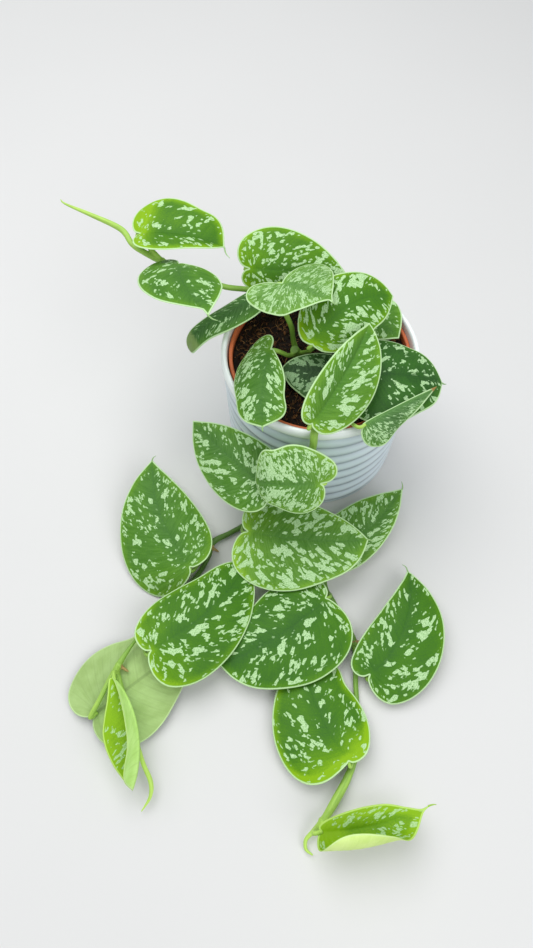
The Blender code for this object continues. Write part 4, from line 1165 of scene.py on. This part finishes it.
def add_nursery_pot():
    """Thin plastic pot with a folded lip, a bead under it and drain holes."""
    floor = POT_FLOOR + GAP
    high = NURSERY_TOP
    lip = high - NURSERY_LIP_HEIGHT
    top = NURSERY_TOP_RADIUS
    base = NURSERY_BASE_RADIUS
    inner = top - NURSERY_LIP - NURSERY_WALL
    profile = [
        (0, floor), (DRAIN_RING, floor), (base - 1.5, floor), (base - 0.5, floor + 0.4),
        (base, floor + 1.5), (top - NURSERY_LIP, lip), (top - 0.3, lip + 0.1), (top, lip + 0.6),
        (top, high - 0.6), (top - 0.2, high - 0.2), (top - 0.6, high), (top - 1.4, high),
        (inner + 0.3, high - 0.1), (inner, high - 0.5), (inner, lip), (base - NURSERY_WALL, floor + 2.4),
        (base - NURSERY_WALL - 1.2, floor + NURSERY_WALL), (0, floor + NURSERY_WALL),
    ]
    points, faces = lathe(profile, NURSERY_SEGMENTS)
    material = plastic_material("nursery_plastic")
    item = add_piece("nursery_pot_moulded", points, faces, [material], ["nursery_pot"])
    cutters = []
    for k in range(DRAIN_COUNT):
        angle = 2 * math.pi * k / DRAIN_COUNT
        x = DRAIN_RING * math.cos(angle)
        y = DRAIN_RING * math.sin(angle)
        ring = [(x, y, floor - 3 + 4 * j, DRAIN_RADIUS) for j in range(3)]
        cutters.append(make_object("drain_cutter", *tube(ring, 32, 4)[:2]))
        cut = item.modifiers.new("drain", "BOOLEAN")
        cut.object = cutters[-1]
        cut.solver = "EXACT"
    made = evaluated_mesh(item)
    item.modifiers.clear()
    item.data = made
    for cutter in cutters:
        bpy.data.objects.remove(cutter, do_unlink=True)


def soil_height(x, y):
    """Height of the compost at a point, in millimetres."""
    low = noise.noise(Vector((x, y, 7.0)) * 0.12)
    clods = noise.fractal(Vector((x, y, 2.0)) * 0.35, 1.0, 2.0, 3)
    return SOIL_TOP + SOIL_ROUGHNESS * (low + 0.5) + 0.9 * clods


def crumb_shape():
    """Points and faces of an icosahedron."""
    radius = 0.894
    height = 0.447
    points = [Vector((0, 0, 1))]
    for ring in range(2):
        for k in range(5):
            angle = 2 * math.pi * (k + 0.5 * ring) / 5
            x = radius * math.cos(angle)
            y = radius * math.sin(angle)
            points.append(Vector((x, y, height - 2 * height * ring)))
    points.append(Vector((0, 0, -1)))
    faces = []
    for k in range(5):
        k2 = (k + 1) % 5
        faces += [(0, 1 + k, 1 + k2), (1 + k, 6 + k, 1 + k2), (1 + k2, 6 + k, 6 + k2), (11, 6 + k2, 6 + k)]
    return points, faces


def free_soil(x, y, margin, edge):
    """Whether a place on the soil is clear of its edge and of the stems that enter it."""
    if math.hypot(x, y) > edge:
        return False
    stems = [path[0] for name, (path, _) in STEMS.items() if name != "vine_right"]
    return all(math.hypot(x - row[0], y - row[1]) > row[3] + margin for row in stems)


def scatter(dice, edge, margin):
    """Random free place on the soil."""
    while True:
        x = dice.uniform(-edge, edge)
        y = dice.uniform(-edge, edge)
        if free_soil(x, y, margin, edge - margin):
            return x, y


def add_crumbs(dice, edge, points, faces, shade):
    """Loose crumbs, each a lumpy and flattened ball."""
    ball, ball_faces = crumb_shape()
    for _ in range(SOIL_CRUMBS):
        size = CRUMB_SMALLEST + CRUMB_SPREAD * dice.random() ** 3
        x, y = scatter(dice, edge, size + 0.4)
        flat = dice.uniform(0.35, 0.9)
        turn = Matrix.Rotation(dice.uniform(0, 6.3), 3, "Z")
        turn = turn @ Matrix.Rotation(dice.uniform(-0.6, 0.6), 3, "X")
        long = dice.uniform(0.8, 1.9)
        centre = Vector((x, y, soil_height(x, y) + 0.25 * size))
        shade += [dice.choice(CRUMB_TONES)] * len(ball)
        lumps = []
        for corner in ball:
            lump = 1 + dice.uniform(-0.28, 0.28)
            shaped = Vector((corner.x * long, corner.y, corner.z * flat))
            lumps.append(centre + turn @ shaped * size * lump)
        join(points, faces, lumps, ball_faces)


def add_fibres(dice, edge, points, faces, shade):
    """Coir fibres, each a bowed thread that stays on the soil."""
    last = FIBRE_POINTS - 1
    for _ in range(SOIL_FIBRES):
        x, y = scatter(dice, edge, 3.0)
        heading = dice.uniform(0, 2 * math.pi)
        length = 1.5 + 6.5 * dice.random() ** 2
        bow = dice.uniform(-1.2, 1.2)
        path = []
        for k in range(FIBRE_POINTS):
            px = x + math.cos(heading) * length * k / last
            py = y + math.sin(heading) * length * k / last
            if not free_soil(px, py, 0.4, edge - 0.5):
                break
            rise = 0.35 + 1.3 * math.sin(math.pi * k / last) * dice.uniform(0.2, 1.0)
            path.append((px, py, soil_height(px, py) + rise, dice.uniform(0.12, 0.22)))
            heading += bow / last
        if len(path) < 3:
            continue
        tone = dice.choice(FIBRE_TONES)
        tube_points, tube_faces, _ = tube(path, 4, 1.5)
        shade += [tone] * len(tube_points)
        join(points, faces, tube_points, tube_faces)


def add_soil():
    """Root ball with a crumbly top, loose crumbs and coir fibres."""
    dice = random.Random(SOIL_SEED)
    floor = POT_FLOOR + GAP + NURSERY_WALL + GAP
    lip_bottom = NURSERY_TOP - NURSERY_LIP_HEIGHT
    wall_low = NURSERY_BASE_RADIUS - NURSERY_WALL - GAP
    wall_high = NURSERY_TOP_RADIUS - NURSERY_LIP - NURSERY_WALL - GAP
    share = min(1.0, (SOIL_TOP - floor) / (lip_bottom - floor))
    edge = wall_low + (wall_high - wall_low) * share - 0.4
    profile = [(0, floor), (wall_low - 2.2, floor), (wall_low - 0.4, floor + 3.0), (edge, SOIL_TOP - 2.0)]
    profile += [(edge * k / SOIL_RINGS, SOIL_TOP) for k in range(SOIL_RINGS, -1, -1)]
    points, faces = lathe(profile, SOIL_SEGMENTS)
    shade = []
    for k, (x, y, z) in enumerate(points):
        points[k] = (x, y, soil_height(x, y) if z >= SOIL_TOP else z)
        shade.append(0.32 + 0.25 * noise.noise(Vector((x, y, 0)) * 0.5))
    add_crumbs(dice, edge, points, faces, shade)
    add_fibres(dice, edge, points, faces, shade)
    item = add_piece("soil_coir", points, faces, [soil_material("coir")], ["soil"])
    set_values(item, "shade", shade)


def add_leaves():
    """All blades; the two youngest have a yellower underside of their own."""
    under = underside_material("blade_underside", 1.0, (0.30, 0.45, 0.14), (0.38, 0.55, 0.20))
    youngest = {
        "leaf_23": underside_material("folded_underside", 2.0, (0.48, 0.80, 0.18), (0.60, 0.92, 0.28)),
        "leaf_24": underside_material("rolled_underside", 3.0, (0.56, 0.76, 0.20), (0.68, 0.86, 0.30)),
    }
    for seed, name in enumerate(LEAVES):
        top = blade_material(name, seed + 1.0)
        add_blade(name, seed, top, youngest.get(name, under))


def add_stems():
    """All vines and pot stems."""
    material = stem_material("stem_skin")
    for name in STEMS:
        add_stem(name, material)


def add_studio():
    """Pale floor, soft lights and the camera at the photograph's angle."""
    half = FLOOR_HALF
    corners = [(-half, -half, 0), (half, -half, 0), (half, half, 0), (-half, half, 0)]
    floor = make_object("floor", corners, [(0, 1, 2, 3)], [floor_material("floor_paint")])
    floor.location.z = -FLOOR_DROP * MM

    for name, (place, size, power) in LIGHTS.items():
        light = bpy.data.lights.new(name, "AREA")
        light.size = size
        light.energy = power
        lamp = link(bpy.data.objects.new(name, light))
        lamp.location = place
        lamp.rotation_mode = "QUATERNION"
        lamp.rotation_quaternion = (Vector(LIGHT_TARGET) - Vector(place)).to_track_quat("-Z", "Y")

    world = bpy.data.worlds.new("studio")
    world.use_nodes = True
    sky = world.node_tree.nodes["Background"]
    sky.inputs["Color"].default_value = SKY_COLOUR
    sky.inputs["Strength"].default_value = SKY_STRENGTH
    bpy.context.scene.world = world

    camera = bpy.data.cameras.new("camera")
    camera.lens = FOCAL_PIXELS / IMAGE_HEIGHT * SENSOR
    camera.sensor_width = SENSOR
    eye = link(bpy.data.objects.new("camera", camera))
    tilt = Matrix.Rotation(math.radians(CAMERA_TILT), 4, "X")
    roll = Matrix.Rotation(math.radians(CAMERA_ROLL), 4, "Z")
    eye.matrix_world = Matrix.Translation([c * MM for c in CAMERA_PLACE]) @ tilt @ roll
    bpy.context.scene.camera = eye
    bpy.context.scene.view_settings.view_transform = "Standard"


add_cover_pot()
add_nursery_pot()
add_soil()
add_stems()
add_leaves()
add_studio()
